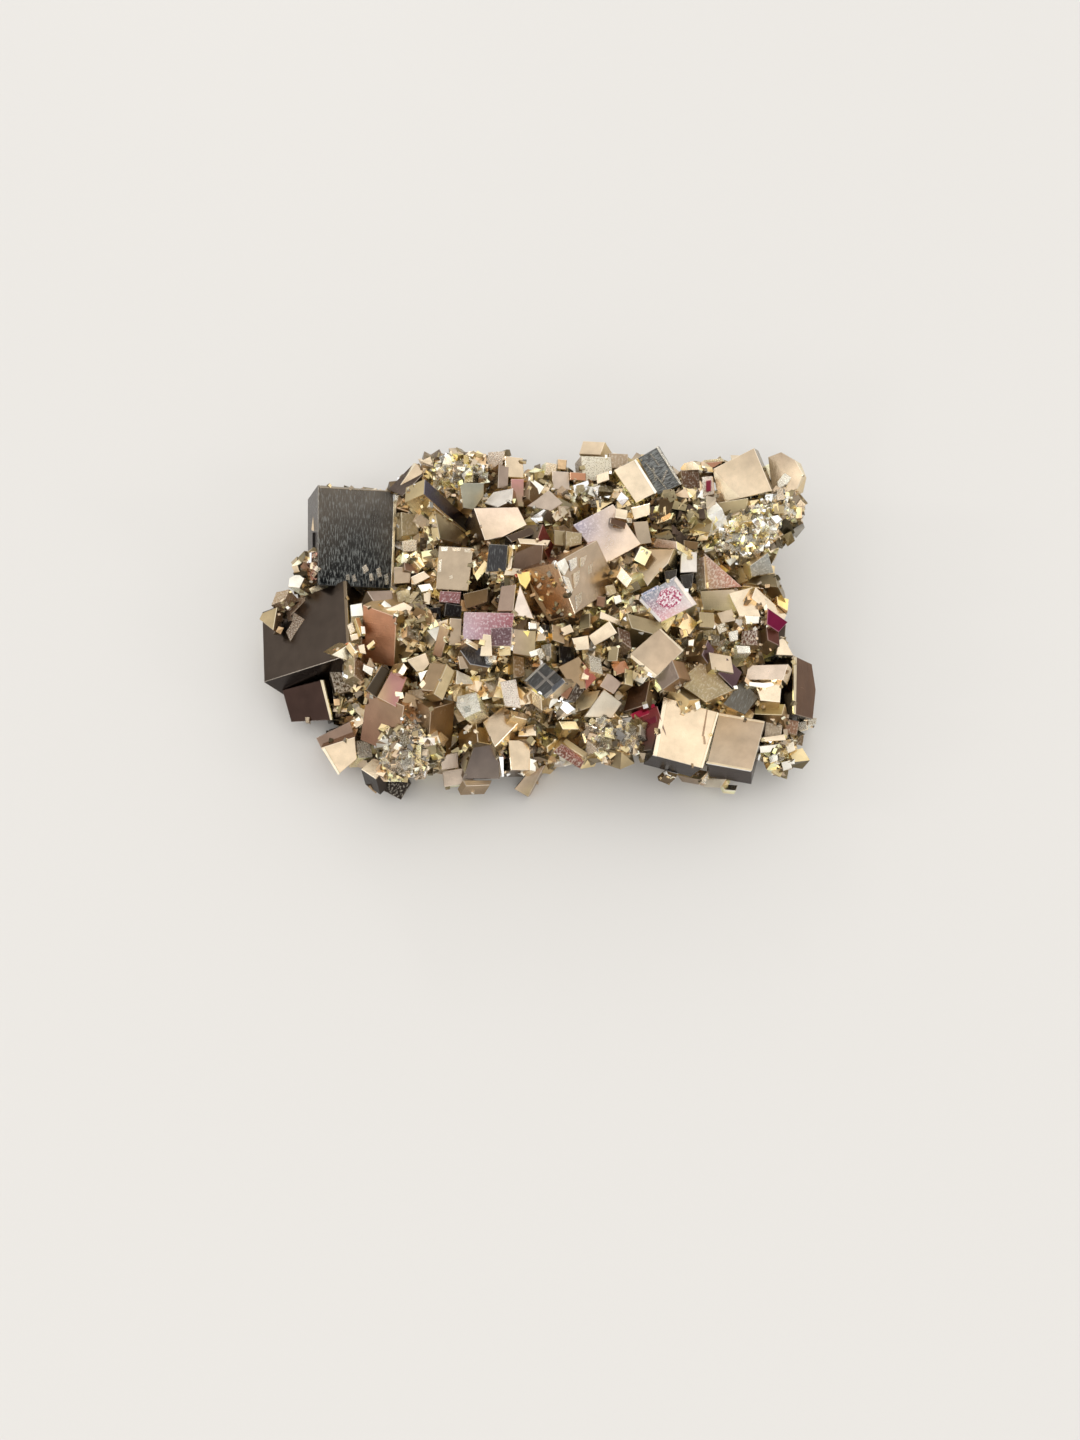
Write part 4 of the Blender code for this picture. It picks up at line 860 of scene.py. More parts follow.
MIDDLE_RIGHT = (
    # hollow_upper and hollow_lower are black sheets in hollows: painted shade.
    Facet("hollow_upper", ((545, 624), (552, 626), (551, 642), (546, 640)), 18.8, 2.0, BLACK, DARK, SLATE),
    Facet("hollow_lower", ((559, 645), (575, 648), (574, 668), (560, 664)), 16.8, 2.0, BLACK, DARK, SLATE),
    Facet("bead_low", ((536, 651), (541, 648), (545, 656), (540, 660)), 19.6, 2.0, SILVER, KHAKI, SUGAR),
    Facet("gold_dots", ((680, 631), (686, 629), (688, 636), (682, 638)), 19.0, 1.5, GOLD.lit(1.08), KHAKI),
    Facet("gold_dots_low", ((688, 640), (694, 639), (693, 646), (688, 646)), 18.6, 1.5, WHITE.lit(0.96),
          KHAKI),
    Facet("druse_plate", ((716, 626), (724, 622), (727, 630), (719, 634)), 17.8, 1.5, SILVER.lit(1.1), KHAKI,
          SUGAR),
    Facet("druse_bit", ((728, 632), (738, 630), (738, 640), (730, 642)), 17.2, 1.5, WHITE.lit(0.94), KHAKI,
          SUGAR),
    Facet("druse_dark", ((711, 634), (720, 636), (719, 646), (711, 645)), 17.0, 2.0, Tone(96, 84, 66), OLIVE,
          ETCHED),
    Facet("chip_between", ((605, 586), (614, 584), (617, 593), (608, 597)), 20.2, 2.0, KHAKI.lit(1.1), OLIVE,
          ETCHED),
    Facet("chip_brown", ((597, 596), (606, 597), (604, 608), (596, 606)), 19.8, 2.0, BROWN.lit(1.25), UMBER,
          SATIN),
    Facet("chip_white", ((613, 597), (620, 595), (622, 602), (615, 605)), 20.0, 1.5, WHITE.lit(0.95), KHAKI),
    Facet("chip_pale", ((560, 628), (570, 624), (574, 632), (563, 636)), 19.6, 2.0, CHAMPAGNE, OLIVE),
    Facet("taupe_cube", ((556, 560), (597, 540), (618, 585), (575, 614)), 22.6, 9.5, (TAUPE.lit(0.98),
          TAUPE.lit(1.06), TAUPE.lit(1.12), TAUPE), BROWN, near=-1, ratio=1.15),
    Facet("taupe_side", ((526, 573), (556, 562), (575, 615), (549, 622), (534, 598)), 21.4, 5.0, (Tone(116,
          92, 66), Tone(142, 118, 86), Tone(132, 106, 74), Tone(112, 88, 62), Tone(124, 98, 68)), UMBER,
          SATIN),
    Facet("rose_slab", ((613, 504), (641, 544), (605, 564), (573, 525)), 21.8, 7.0, (Tone(226, 204, 184, 0.1),
          Tone(232, 208, 182, 0.0), Tone(222, 198, 174, 0.0), Tone(150, 142, 158, 0.5)), PLUM, BLOOM),
    Facet("rose_rider", ((616, 508), (628, 510), (627, 519), (615, 517)), 24.0, 3.0, CREAM, BROWN, ratio=0.9),
    Facet("rider_front", ((611, 517), (627, 521), (624, 528), (610, 523)), 23.6, 2.5, Tone(92, 70, 56), DARK),
    Facet("cream_block", ((631, 508), (650, 503), (650, 515), (634, 520)), 21.0, 5.0, CREAM, STRAW),
    Facet("cream_block_low", ((633, 522), (648, 521), (652, 543), (638, 545)), 20.4, 5.0, BEIGE.lit(0.9),
          OLIVE),
    Facet("tan_kite", ((646, 549), (674, 549), (668, 563), (655, 576), (647, 586), (636, 568)), 21.0, 6.0,
          (TAN.lit(1.02), TAN.lit(1.08), BEIGE.lit(1.05), BEIGE, BEIGE, KHAKI), OLIVE),
    Facet("kite_top", ((648, 537), (676, 541), (677, 549), (644, 547)), 20.6, 4.0, ROSE.lit(0.98), STRAW,
          ratio=4.0),
    Facet("silver_cream", ((681, 551), (697, 552), (697, 572), (680, 573)), 20.3, 5.0, MIST, DARK, SATIN,
          ratio=0.7),
    Facet("silver_front", ((684, 540), (699, 542), (697, 550), (684, 549)), 20.0, 4.0, BRONZE, UMBER, SATIN),
    Facet("dark_below", ((680, 575), (694, 573), (692, 587), (684, 590)), 19.6, 3.0, Tone(60, 56, 52), DARK,
          SLATE),
    Facet("dark_left", ((664, 571), (677, 569), (676, 580), (666, 583)), 20.4, 2.0, Tone(66, 60, 54), DARK,
          SLATE),
    Facet("cream_dart", ((622, 567), (633, 579), (627, 588), (617, 577)), 21.5, 4.0, CREAM, KHAKI),
    Facet("pink_cube", ((676, 576), (697, 604), (661, 622), (640, 597)), 21.0, 6.5, (Tone(158, 158, 160, 0.4),
          Tone(228, 214, 206), Tone(204, 148, 150, 0.5), Tone(124, 132, 144, 0.4)), CHAMPAGNE, BLOOM),
    Facet("salmon_wedge", ((706, 590), (704, 553), (742, 587)), 17.8, 5.0, (Tone(168, 140, 116, 0.6),
          Tone(160, 126, 108, 0.6), Tone(186, 128, 110, 0.5)), KHAKI, ETCHED),
    Facet("salmon_side", ((693, 560), (704, 556), (706, 589), (697, 592)), 17.6, 2.0, (KHAKI, Tone(150, 118,
          98), KHAKI, OLIVE), OLIVE, ETCHED),
    Facet("salmon_foot", ((700, 591), (738, 589), (738, 612), (704, 610)), 17.0, 5.0, (KHAKI, BEIGE,
          STRAW.lit(0.9), OLIVE), OLIVE, SATIN),
    Facet("blue_grey", ((768, 553), (774, 573), (752, 577), (750, 566)), 16.6, 4.0, (Tone(142, 142, 136),
          Tone(156, 152, 142), Tone(164, 154, 136), Tone(146, 142, 132)), KHAKI, ETCHED),
    Facet("blue_foot", ((752, 577), (775, 573), (778, 587), (746, 583)), 16.0, 4.0, KHAKI.lit(0.85), OLIVE,
          SATIN),
    Facet("blue_rim", ((744, 583), (778, 587), (778, 590), (742, 586)), 15.9, 3.0, ROSE, KHAKI, ratio=9.0),
    Facet("gold_crumb", ((764, 590), (778, 590), (777, 601), (767, 600)), 15.2, 4.0, GOLD.lit(0.85), OLIVE,
          SUGAR),
    Facet("right_cream", ((729, 593), (752, 587), (768, 601), (757, 605), (761, 617), (739, 616)), 17.8, 6.0,
          CREAM, BEIGE),
    Facet("right_ridge", ((756, 587), (787, 615), (783, 623), (752, 598)), 17.2, 5.0, CREAM.lit(1.0), TAUPE,
          ratio=3.4),
    Facet("right_lip", ((745, 615), (760, 616), (759, 623), (746, 624)), 17.2, 3.0, WHITE, BEIGE),
    Facet("magenta_cube", ((768, 608), (788, 622), (779, 632), (767, 624)), 17.3, 6.0, Tone(100, 22, 50),
          UMBER),
    Facet("magenta_foot", ((766, 624), (779, 630), (780, 646), (768, 640)), 16.4, 4.0, Tone(86, 52, 44),
          UMBER, SATIN),
    Facet("magenta_side", ((775, 626), (786, 625), (785, 637), (776, 636)), 15.8, 3.0, Tone(66, 56, 48),
          DARK),
    # right_glow is painted bright yellow: a painted highlight.
    Facet("right_glow", ((777, 596), (789, 599), (788, 611), (778, 605)), 16.6, 4.0, Tone(246, 214, 140),
          BRONZE),
    Facet("red_brown", ((742, 631), (757, 629), (757, 645), (740, 645)), 16.2, 3.0, Tone(104, 72, 60, 0.6),
          UMBER, ETCHED),
    Facet("beige_right", ((717, 613), (732, 609), (736, 620), (722, 623)), 18.2, 5.0, BEIGE, OLIVE, SATIN),
    Facet("cream_right", ((780, 635), (786, 641), (794, 656), (776, 655)), 13.2, 5.0, CREAM, STRAW),
    Facet("white_right", ((736, 645), (750, 646), (751, 653), (738, 653)), 16.4, 4.0, WHITE, BEIGE, SUGAR),
    Facet("khaki_right", ((699, 612), (714, 613), (715, 628), (700, 627)), 18.6, 5.0, KHAKI.lit(1.05), OLIVE,
          SATIN),
    Facet("plum_slab", ((708, 640), (715, 650), (709, 665), (702, 655)), 17.2, 5.0, PLUM, UMBER, SATIN),
    Facet("beige_low", ((709, 652), (731, 656), (734, 673), (712, 669)), 17.3, 5.0, BEIGE, KHAKI, SATIN),
    Facet("khaki_slab", ((627, 613), (661, 622), (664, 637), (632, 628)), 20.0, 5.0, KHAKI.lit(0.95), OLIVE,
          SATIN),
    Facet("dark_slab", ((618, 627), (630, 632), (632, 649), (620, 640)), 20.6, 5.0, BROWN, UMBER, ETCHED),
    Facet("slab_rim", ((601, 611), (625, 622), (624, 627), (600, 618)), 20.4, 3.0, CREAM.lit(0.9), KHAKI,
          ratio=3.6),
    Facet("olive_bit", ((580, 616), (590, 613), (590, 627), (579, 630)), 19.8, 5.0, OLIVE.lit(1.1), UMBER,
          SATIN),
    Facet("ridge_white", ((635, 548), (641, 546), (634, 560), (630, 558)), 20.4, 2.0, WHITE, KHAKI,
          ratio=2.5),
)

TOP_LEFT = (
    Facet("dome_bright", ((448, 462), (456, 460), (457, 467), (449, 469)), 17.6, 1.5, WHITE.lit(0.94), KHAKI,
          SUGAR),
    Facet("dome_plate", ((470, 470), (480, 468), (481, 476), (471, 478)), 18.4, 1.5, SILVER.lit(1.05), KHAKI,
          SUGAR),
    Facet("tip_bead", ((415, 499), (420, 498), (421, 503), (416, 504)), 19.4, 1.5, WHITE, CREAM, SUGAR),
    Facet("corner_bead", ((395, 494), (399, 495), (398, 501), (395, 500)), 17.9, 1.2, WHITE, CREAM, SUGAR),
    Facet("indigo_blade", ((425, 479), (473, 523), (470, 535), (424, 494)), 19.8, 4.0,
          INDIGO.lit(0.95).worn(0.1), OLIVE, ratio=4.2),
    Facet("blade_rim", ((429, 499), (470, 534), (470, 537), (430, 503)), 19.6, 2.0, CREAM.lit(0.9), OLIVE,
          ratio=10.0),
    Facet("blade_face", ((434, 507), (470, 538), (466, 546), (440, 538)), 18.8, 1.5, (KHAKI.lit(1.1),
          KHAKI.lit(1.2), BEIGE, OLIVE), OLIVE, SATIN),
    Facet("champagne_strip", ((416, 463), (425, 471), (401, 496), (396, 491)), 18.4, 2.0, CHAMPAGNE, BEIGE),
    Facet("strip_dark", ((425, 472), (423, 490), (405, 498), (402, 496)), 17.2, 3.0, UMBER.lit(1.1), DARK,
          SATIN),
    Facet("orange_face", ((420, 506), (431, 503), (435, 519), (422, 525)), 19.6, 5.0, COPPER, UMBER),
    Facet("khaki_left", ((401, 512), (419, 515), (419, 534), (402, 536)), 16.8, 5.0, KHAKI.lit(1.1), OLIVE,
          ETCHED),
    Facet("cream_patch", ((402, 541), (417, 540), (417, 551), (403, 552)), 18.2, 3.0, CREAM, BEIGE, SUGAR),
    Facet("green_wedge", ((460, 483), (484, 483), (484, 496), (474, 510), (463, 508)), 20.0, 6.0, (Tone(150,
          146, 130), Tone(138, 136, 122), KHAKI, Tone(128, 122, 102), Tone(140, 134, 116)), OLIVE, SATIN),
    Facet("cream_shard", ((488, 452), (505, 451), (502, 467), (486, 468)), 17.8, 4.5, ROSE.lit(0.95), BEIGE,
          SUGAR),
    Facet("beige_block", ((505, 456), (523, 458), (524, 478), (506, 477)), 18.2, 6.0, CHAMPAGNE, KHAKI),
    Facet("mauve_slab", ((499, 464), (509, 467), (508, 490), (498, 488)), 19.2, 3.0, MAUVE.lit(0.95), UMBER,
          ratio=0.45),
    Facet("pink_face", ((511, 479), (524, 479), (524, 507), (511, 506)), 20.4, 4.0, (PINK.lit(1.05), PINK,
          KHAKI, KHAKI.lit(0.9)), OLIVE, ratio=0.48),
    Facet("striped_face", ((493, 492), (513, 488), (512, 500), (497, 507), (484, 503)), 20.4, 6.0, Tone(206,
          198, 188, 0.6), UMBER, SATIN),
    Facet("cream_face", ((474, 508), (518, 507), (527, 525), (503, 537), (485, 540)), 21.8, 7.0, (Tone(216,
          194, 172), Tone(222, 198, 176), CREAM, Tone(206, 182, 160), BEIGE), UMBER),
    Facet("white_peak", ((529, 476), (545, 487), (538, 497), (528, 484)), 20.4, 3.0, WHITE.lit(0.96), BEIGE),
    Facet("scoop", ((530, 480), (544, 495), (543, 513), (529, 499)), 19.9, 2.0, BRONZE.lit(0.9), UMBER,
          SATIN),
    Facet("beige_roof", ((549, 490), (563, 503), (551, 511), (527, 506)), 20.9, 4.0, ROSE.lit(0.86), BEIGE),
    Facet("red_triangle", ((543, 524), (554, 545), (549, 560), (538, 538)), 21.2, 4.0, Tone(112, 54, 46),
          UMBER, SATIN),
    Facet("grey_green", ((554, 530), (565, 531), (565, 546), (554, 545)), 20.5, 5.0, KHAKI, OLIVE, SATIN),
    Facet("khaki_mid", ((566, 531), (582, 533), (582, 544), (566, 548)), 21.8, 5.0, KHAKI, OLIVE, ETCHED),
    Facet("dark_roof", ((506, 536), (530, 527), (536, 533), (512, 542)), 22.3, 4.0, UMBER.lit(1.15), DARK),
)

TOP_RIGHT = (
    Facet("tan_square", ((558, 459), (567, 460), (566, 470), (557, 469)), 17.4, 4.0, TAN.lit(1.1), OLIVE),
    Facet("pinkish_tan", ((552, 471), (569, 472), (570, 490), (553, 489)), 18.2, 5.0, ROSE.lit(0.88), OLIVE,
          SATIN),
    Facet("cream_bits", ((546, 462), (557, 464), (556, 477), (545, 475)), 17.4, 4.0, CREAM, BEIGE, SUGAR),
    Facet("tan_strip", ((570, 472), (586, 473), (586, 481), (570, 480)), 18.8, 5.0, COPPER.lit(1.05), OLIVE),
    Facet("top_beige", ((583, 441), (605, 442), (600, 455), (579, 454)), 16.8, 6.0, CHAMPAGNE.lit(0.95),
          OLIVE, SATIN),
    Facet("mauve_top", ((609, 453), (628, 454), (629, 469), (610, 468)), 17.4, 5.0, TAUPE, OLIVE, ETCHED),
    Facet("striated_block", ((581, 456), (611, 457), (613, 480), (583, 481)), 18.0, 6.0,
          STRAW.lit(0.85).worn(0.8), UMBER, SUGAR),
    Facet("cream_rider", ((596, 475), (608, 471), (609, 480), (597, 484)), 19.6, 4.0, CREAM, OLIVE),
    Facet("cream_rectangle", ((634, 460), (656, 493), (636, 503), (614, 470)), 19.4, 6.0, CREAM.worn(0.1),
          KHAKI),
    Facet("scratched_cube", ((659, 446), (682, 484), (658, 495), (638, 458)), 18.8, 7.0, Tone(74, 72, 70,
          0.9), CHAMPAGNE, SLATE),
    Facet("brown_arc", ((681, 470), (699, 471), (700, 488), (682, 488)), 18.0, 6.0, BROWN, UMBER, ETCHED),
    Facet("arc_top", ((680, 468), (684, 463), (692, 461), (698, 465), (699, 470), (681, 471)), 18.4, 4.0,
          CREAM, STRAW),
    Facet("copper_strip", ((702, 463), (724, 461), (715, 467), (703, 472)), 17.0, 5.0, Tone(168, 122, 96),
          UMBER),
    Facet("strip_top", ((703, 460), (722, 458), (724, 461), (702, 463)), 16.8, 3.0, STRAW, KHAKI, SUGAR),
    Facet("plum_cube", ((691, 500), (707, 501), (707, 514), (691, 513)), 19.4, 5.0, PLUM.lit(0.9), UMBER,
          ETCHED),
    Facet("big_beige", ((754, 448), (772, 491), (722, 503), (713, 469)), 17.6, 6.0, (BEIGE.lit(1.04),
          CHAMPAGNE, CREAM, CHAMPAGNE), OLIVE, near=-1),
    Facet("beige_foot", ((716, 503), (748, 498), (744, 522), (718, 522)), 17.2, 4.0, (KHAKI, STRAW.lit(0.8),
          KHAKI, OLIVE), OLIVE, SATIN),
    Facet("red_patch", ((702, 477), (712, 476), (714, 494), (703, 497)), 19.0, 3.0, (WHITE, ROSE,
          ROSE.lit(0.9), CREAM), BROWN, SUGAR),
    Facet("round_beige", ((768, 457), (781, 452), (795, 460), (803, 474), (797, 489), (785, 495), (772, 490)),
          16.2, 3.6, (BEIGE, TAUPE, BEIGE, CHAMPAGNE, BEIGE, CHAMPAGNE, BEIGE), KHAKI),
    # round_glint is a thin white sheet on round_beige: a painted glint.
    Facet("round_glint", ((788, 468), (796, 471), (788, 483), (778, 489), (777, 482)), 16.6, 0.6, WHITE,
          CREAM, SUGAR),
)


@dataclass(frozen=True)
class Flake:
    """A thin chip or scratch on the face of a crystal, or a pale line along one of its edges that is
    a painted edge highlight, by its outline in the picture.
    """

    outline: tuple[Point, ...]
    tone: Tone
    finish: Finish = CLEAN
    lift: float = 0.12
    root: float = 0.2
    rim: float = 0.03

    def add_to(self, shape: Shape, host: Facet, rng: random.Random) -> None:
        """Add the chip, in the plane of its host's face.

        Args:
            shape: The shape of the showing side.
            host: The crystal that it lies on.
            rng: The draw for the small differences between its faces.
        """
        centre, normal = host.stand()
        corners = [VIEW.on_plane(point, centre + normal * self.lift, normal) for point in self.outline]
        if (corners[1] - corners[0]).cross(corners[-1] - corners[0]).dot(normal) < 0:
            corners.reverse()
        back = -normal * (self.lift + self.root)
        add_prism(shape, corners, back, (self.tone,), self.tone, self.finish, rng, self.rim)


# The pale rim tone and the pale lines along edges marked below are painted edge highlights.
EDGE_HIGHLIGHT = Tone(222, 206, 176, 0.1)
FLAKES: dict[str, tuple[Flake, ...]] = {
    "slate_cube": (
        # These two lines along the slate cube's right and top edges are painted edge highlights.
        Flake(((394, 492), (397, 492), (393, 588), (391, 588)), EDGE_HIGHLIGHT),
        Flake(((320, 486), (395, 491), (395, 492), (320, 488)), Tone(150, 138, 122, 0.6)),
        Flake(((362, 567), (366, 564), (369, 570), (364, 574)), Tone(190, 180, 166), SUGAR),
        Flake(((352, 576), (355, 574), (357, 581), (353, 582)), Tone(150, 142, 132), SUGAR),
        Flake(((369, 574), (372, 573), (374, 580), (370, 581)), Tone(186, 176, 162), SUGAR),
        Flake(((384, 575), (388, 573), (389, 584), (385, 585)), Tone(150, 146, 138), SUGAR),
        Flake(((376, 569), (380, 567), (382, 576), (378, 578)), Tone(170, 162, 150), SUGAR),
        Flake(((346, 575), (349, 574), (350, 580), (346, 580)), Tone(140, 134, 124), SUGAR),
    ),
    "dark_cube": (
        Flake(((283, 600), (305, 597), (304, 600), (285, 604)), Tone(132, 110, 92), ETCHED),
        Flake(((283, 601), (287, 602), (292, 620), (288, 621)), Tone(120, 98, 82), ETCHED),
        Flake(((302, 599), (305, 600), (291, 615), (288, 612)), Tone(136, 112, 92), ETCHED),
        Flake(((293, 612), (304, 619), (298, 628), (290, 641), (286, 632), (292, 622)), Tone(158, 134, 112),
              SUGAR),
        # A painted edge highlight along the dark cube's right edge.
        Flake(((343, 581), (346, 581), (350, 655), (347, 655)), Tone(120, 104, 84, 0.5)),
    ),
    "lower_cube": (
        # A painted edge highlight.
        Flake(((320, 680), (323, 680), (332, 720), (330, 720)), EDGE_HIGHLIGHT),
    ),
    "right_cube": (
        # A painted edge highlight.
        Flake(((794, 656), (797, 657), (796, 714), (794, 713)), EDGE_HIGHLIGHT),
    ),
    "taupe_cube": (
        Flake(((558, 561), (565, 558), (569, 567), (565, 575), (561, 570)), WHITE.worn(0.9), SUGAR),
        Flake(((564, 576), (569, 578), (573, 590), (570, 596)), CREAM.worn(0.9), SUGAR),
        Flake(((570, 560), (577, 557), (577, 566), (572, 571)), WHITE.lit(0.96), SUGAR),
        Flake(((574, 574), (580, 570), (579, 583), (575, 588)), Tone(214, 198, 176), SUGAR),
        Flake(((581, 558), (587, 555), (584, 566), (581, 567)), Tone(206, 190, 168), SUGAR),
        Flake(((576, 596), (582, 592), (582, 602), (577, 609)), Tone(208, 190, 164), SUGAR),
        Flake(((589, 566), (593, 562), (592, 572), (589, 574)), Tone(196, 178, 154), SUGAR),
    ),
    "pink_cube": (
        Flake(((661, 590), (673, 586), (683, 594), (680, 604), (667, 610), (656, 602)), Tone(160, 60, 92,
              0.7), BLOOM, lift=0.05),
        # These two lines along the pink cube's edges are painted edge highlights.
        Flake(((676, 577), (696, 604), (693, 606), (674, 580)), Tone(236, 222, 210)),
        Flake(((641, 598), (662, 620), (659, 622), (639, 600)), Tone(214, 206, 200)),
        Flake(((641, 594), (658, 585), (660, 588), (643, 597)), Tone(120, 130, 150, 0.6), BLOOM),
    ),
    "yellow_grey": (
        Flake(((523, 631), (530, 631), (528, 637)), Tone(250, 226, 140)),
        Flake(((529, 652), (540, 648), (541, 654), (531, 657)), WHITE),
    ),
    "red_patch": (
        Flake(((706, 481), (711, 480), (711, 491), (706, 492)), Tone(118, 42, 54)),
    ),
    "gridded_cube": (
        Flake(((554, 670), (556, 672), (536, 690), (534, 688)), Tone(116, 110, 104)),
        Flake(((535, 670), (537, 669), (557, 687), (555, 689)), Tone(116, 110, 104)),
        Flake(((543, 663), (546, 663), (527, 681), (525, 680)), Tone(152, 146, 136)),
        Flake(((544, 695), (562, 680), (565, 681), (546, 698)), Tone(128, 124, 118)),
    ),
    "tan_diamond": (
        # Both are painted edge highlights.
        Flake(((629, 656), (631, 654), (657, 675), (654, 678)), Tone(240, 222, 192)),
        Flake(((659, 629), (661, 629), (684, 650), (682, 651)), Tone(222, 204, 176)),
    ),
    "twin_left": (
        Flake(((707, 709), (708, 709), (704, 736), (702, 736)), Tone(150, 124, 100)),
        Flake(((703, 736), (705, 736), (706, 744), (704, 744)), Tone(160, 134, 108)),
        # These two lines along the cube's right and left edges are painted edge highlights.
        Flake(((717, 712), (719, 713), (703, 768), (701, 767)), Tone(242, 224, 196)),
        Flake(((664, 697), (668, 698), (657, 756), (653, 755)), Tone(236, 216, 188)),
    ),
    "twin_right": (
        # Both are painted edge highlights along the bottom and top edges.
        Flake(((707, 761), (752, 769), (751, 771), (706, 763)), Tone(214, 194, 162)),
        Flake(((719, 713), (764, 721), (764, 723), (718, 715)), Tone(216, 194, 162)),
    ),
    "scratched_cube": (
        Flake(((656, 447), (658, 446), (682, 484), (680, 485)), Tone(150, 140, 126, 0.7), SUGAR),
        Flake(((645, 463), (646, 462), (667, 488), (666, 489)), Tone(124, 118, 108), SUGAR),
        Flake(((650, 454), (651, 453), (660, 465), (659, 466)), Tone(118, 112, 104), SUGAR),
        Flake(((666, 470), (668, 470), (663, 482), (661, 481)), Tone(136, 128, 118), SUGAR),
        Flake(((652, 468), (654, 467), (657, 480), (655, 481)), Tone(112, 106, 98), SUGAR),
    ),
    "textured_square": (
        Flake(((441, 547), (448, 547), (447, 551), (441, 551)), WHITE, SUGAR),
        Flake(((452, 548), (461, 548), (460, 551), (453, 551)), CREAM, SUGAR),
        Flake(((439, 560), (442, 559), (441, 572), (438, 572)), Tone(226, 212, 190), SUGAR),
        Flake(((449, 576), (452, 575), (453, 578), (450, 579)), Tone(214, 198, 174), SUGAR),
        Flake(((464, 549), (471, 549), (470, 553), (465, 552)), Tone(214, 198, 174), SUGAR),
    ),
    "big_beige": (
        Flake(((713, 470), (728, 486), (740, 497), (722, 503), (716, 488)), Tone(232, 214, 182)),
    ),
    "cream_rectangle": (
        # A painted edge highlight.
        Flake(((634, 460), (636, 459), (657, 492), (655, 494)), WHITE),
    ),
    "corner_cube": (
        # A painted edge highlight along the cube's left edge.
        Flake(((322, 749), (325, 748), (340, 774), (338, 775)), Tone(242, 226, 200)),
    ),
    "silver_cube": (
        Flake(((459, 699), (463, 698), (464, 702), (460, 703)), WHITE, SUGAR),
        Flake(((468, 696), (473, 695), (474, 700), (469, 701)), Tone(224, 224, 214), SUGAR),
        Flake(((463, 707), (470, 705), (471, 711), (465, 713)), Tone(180, 182, 172), SUGAR),
    ),
    "red_roof": (
        Flake(((562, 745), (584, 760), (582, 764), (560, 748)), Tone(140, 74, 60), SUGAR),
    ),
    "crimson_cube": (
        Flake(((640, 722), (656, 716), (657, 722), (642, 728)), Tone(96, 34, 42)),
    ),
}


class Value:
    """A number that a shader works out, to be used in Python expressions."""

    def __init__(self, graph: Graph, socket: bpy.types.NodeSocket) -> None:
        """Wrap a socket of a graph."""
        self.graph = graph
        self.socket = socket

    def _with(self, operation: str, *operands: Number) -> Value:
        """The result of a Math node on some operands."""
        return self.graph.node("ShaderNodeMath", {"operation": operation}, dict(enumerate(operands)))

    def __add__(self, other: Number) -> Value:
        """Their sum."""
        return self._with("ADD", self, other)

    def __sub__(self, other: Number) -> Value:
        """Their difference."""
        return self._with("SUBTRACT", self, other)

    def __rsub__(self, other: Number) -> Value:
        """Their difference, with this value taken from the other."""
        return self._with("SUBTRACT", other, self)

    def __mul__(self, other: Number) -> Value:
        """Their product."""
        return self._with("MULTIPLY", self, other)

    __radd__ = __add__
    __rmul__ = __mul__

    def ramp(self, low: Number, high: Number) -> Value:
        """From 0 where the value is low to 1 where it is high, smoothly between them."""
        settings = {"interpolation_type": "SMOOTHSTEP"}
        inputs = {"Value": self, "From Min": low, "From Max": high}
        return self.graph.node("ShaderNodeMapRange", settings, inputs)


Number = Union[Value, float]
Key = Union[str, int]


@dataclass(frozen=True)
class Noise:
    """A noise pattern: its rate in each direction of its place, and how fine and how rough it is."""

    rate: tuple[float, float, float]
    detail: float
    roughness: float = 0.5


class Graph:
    """A material and the nodes that are added to it."""

    def __init__(self, name: str) -> None:
        """Make an empty material."""
        self.material = bpy.data.materials.new(name)
        self.material.use_nodes = True
        self.tree = self.material.node_tree
        self.tree.nodes.clear()

    def node(self, kind: str, settings: dict[str, Any], inputs: dict[Key, Any], out: Key = 0) -> Value:
        """Add a node and take one of its outputs.

        Args:
            kind: The node's type.
            settings: Its settings, which are made first.
            inputs: A value, or a socket to link from, for each of its inputs.
            out: Which of its outputs is wanted.

        Returns:
            That output.
        """
        return Value(self, self.add(kind, settings, inputs).outputs[out])

    def add(self, kind: str, settings: dict[str, Any], inputs: dict[Key, Any]) -> bpy.types.Node:
        """Add a node.

        Args:
            kind: The node's type.
            settings: Its settings, which are made first.
            inputs: A value, or a socket to link from, for each of its inputs.

        Returns:
            The node.
        """
        made = self.tree.nodes.new(kind)
        for setting, choice in settings.items():
            setattr(made, setting, choice)
        for key, source in inputs.items():
            if isinstance(source, Value):
                self.tree.links.new(source.socket, made.inputs[key])
            else:
                made.inputs[key].default_value = source
        return made

    def blend(self, share: Number, first: Any, second: Any) -> Value:
        """A colour between two others."""
        return self.node("ShaderNodeMix", {"data_type": "RGBA"}, {0: share, 6: first, 7: second}, 2)

    def vector(self, operation: str, *operands: Any) -> Value:
        """The result of a Vector Math node that takes vectors."""
        return self.node("ShaderNodeVectorMath", {"operation": operation}, dict(enumerate(operands)))

    def scaled(self, vector: Any, scale: Number) -> Value:
        """A vector or colour times a number."""
        return self.node("ShaderNodeVectorMath", {"operation": "SCALE"}, {0: vector, 3: scale})

    def noise(self, where: Value, pattern: Noise) -> Value:
        """A noise, from 0 to 1, over a place."""
        stretched = self.vector("MULTIPLY", where, pattern.rate)
        looks = {"Scale": 1.0, "Detail": pattern.detail, "Roughness": pattern.roughness}
        return self.node("ShaderNodeTexNoise", {}, {"Vector": stretched, **looks})

    def finish(self, shader: Value) -> bpy.types.Material:
        """Send a shader to the material's surface and give the material."""
        self.add("ShaderNodeOutputMaterial", {}, {"Surface": shader})
        return self.material


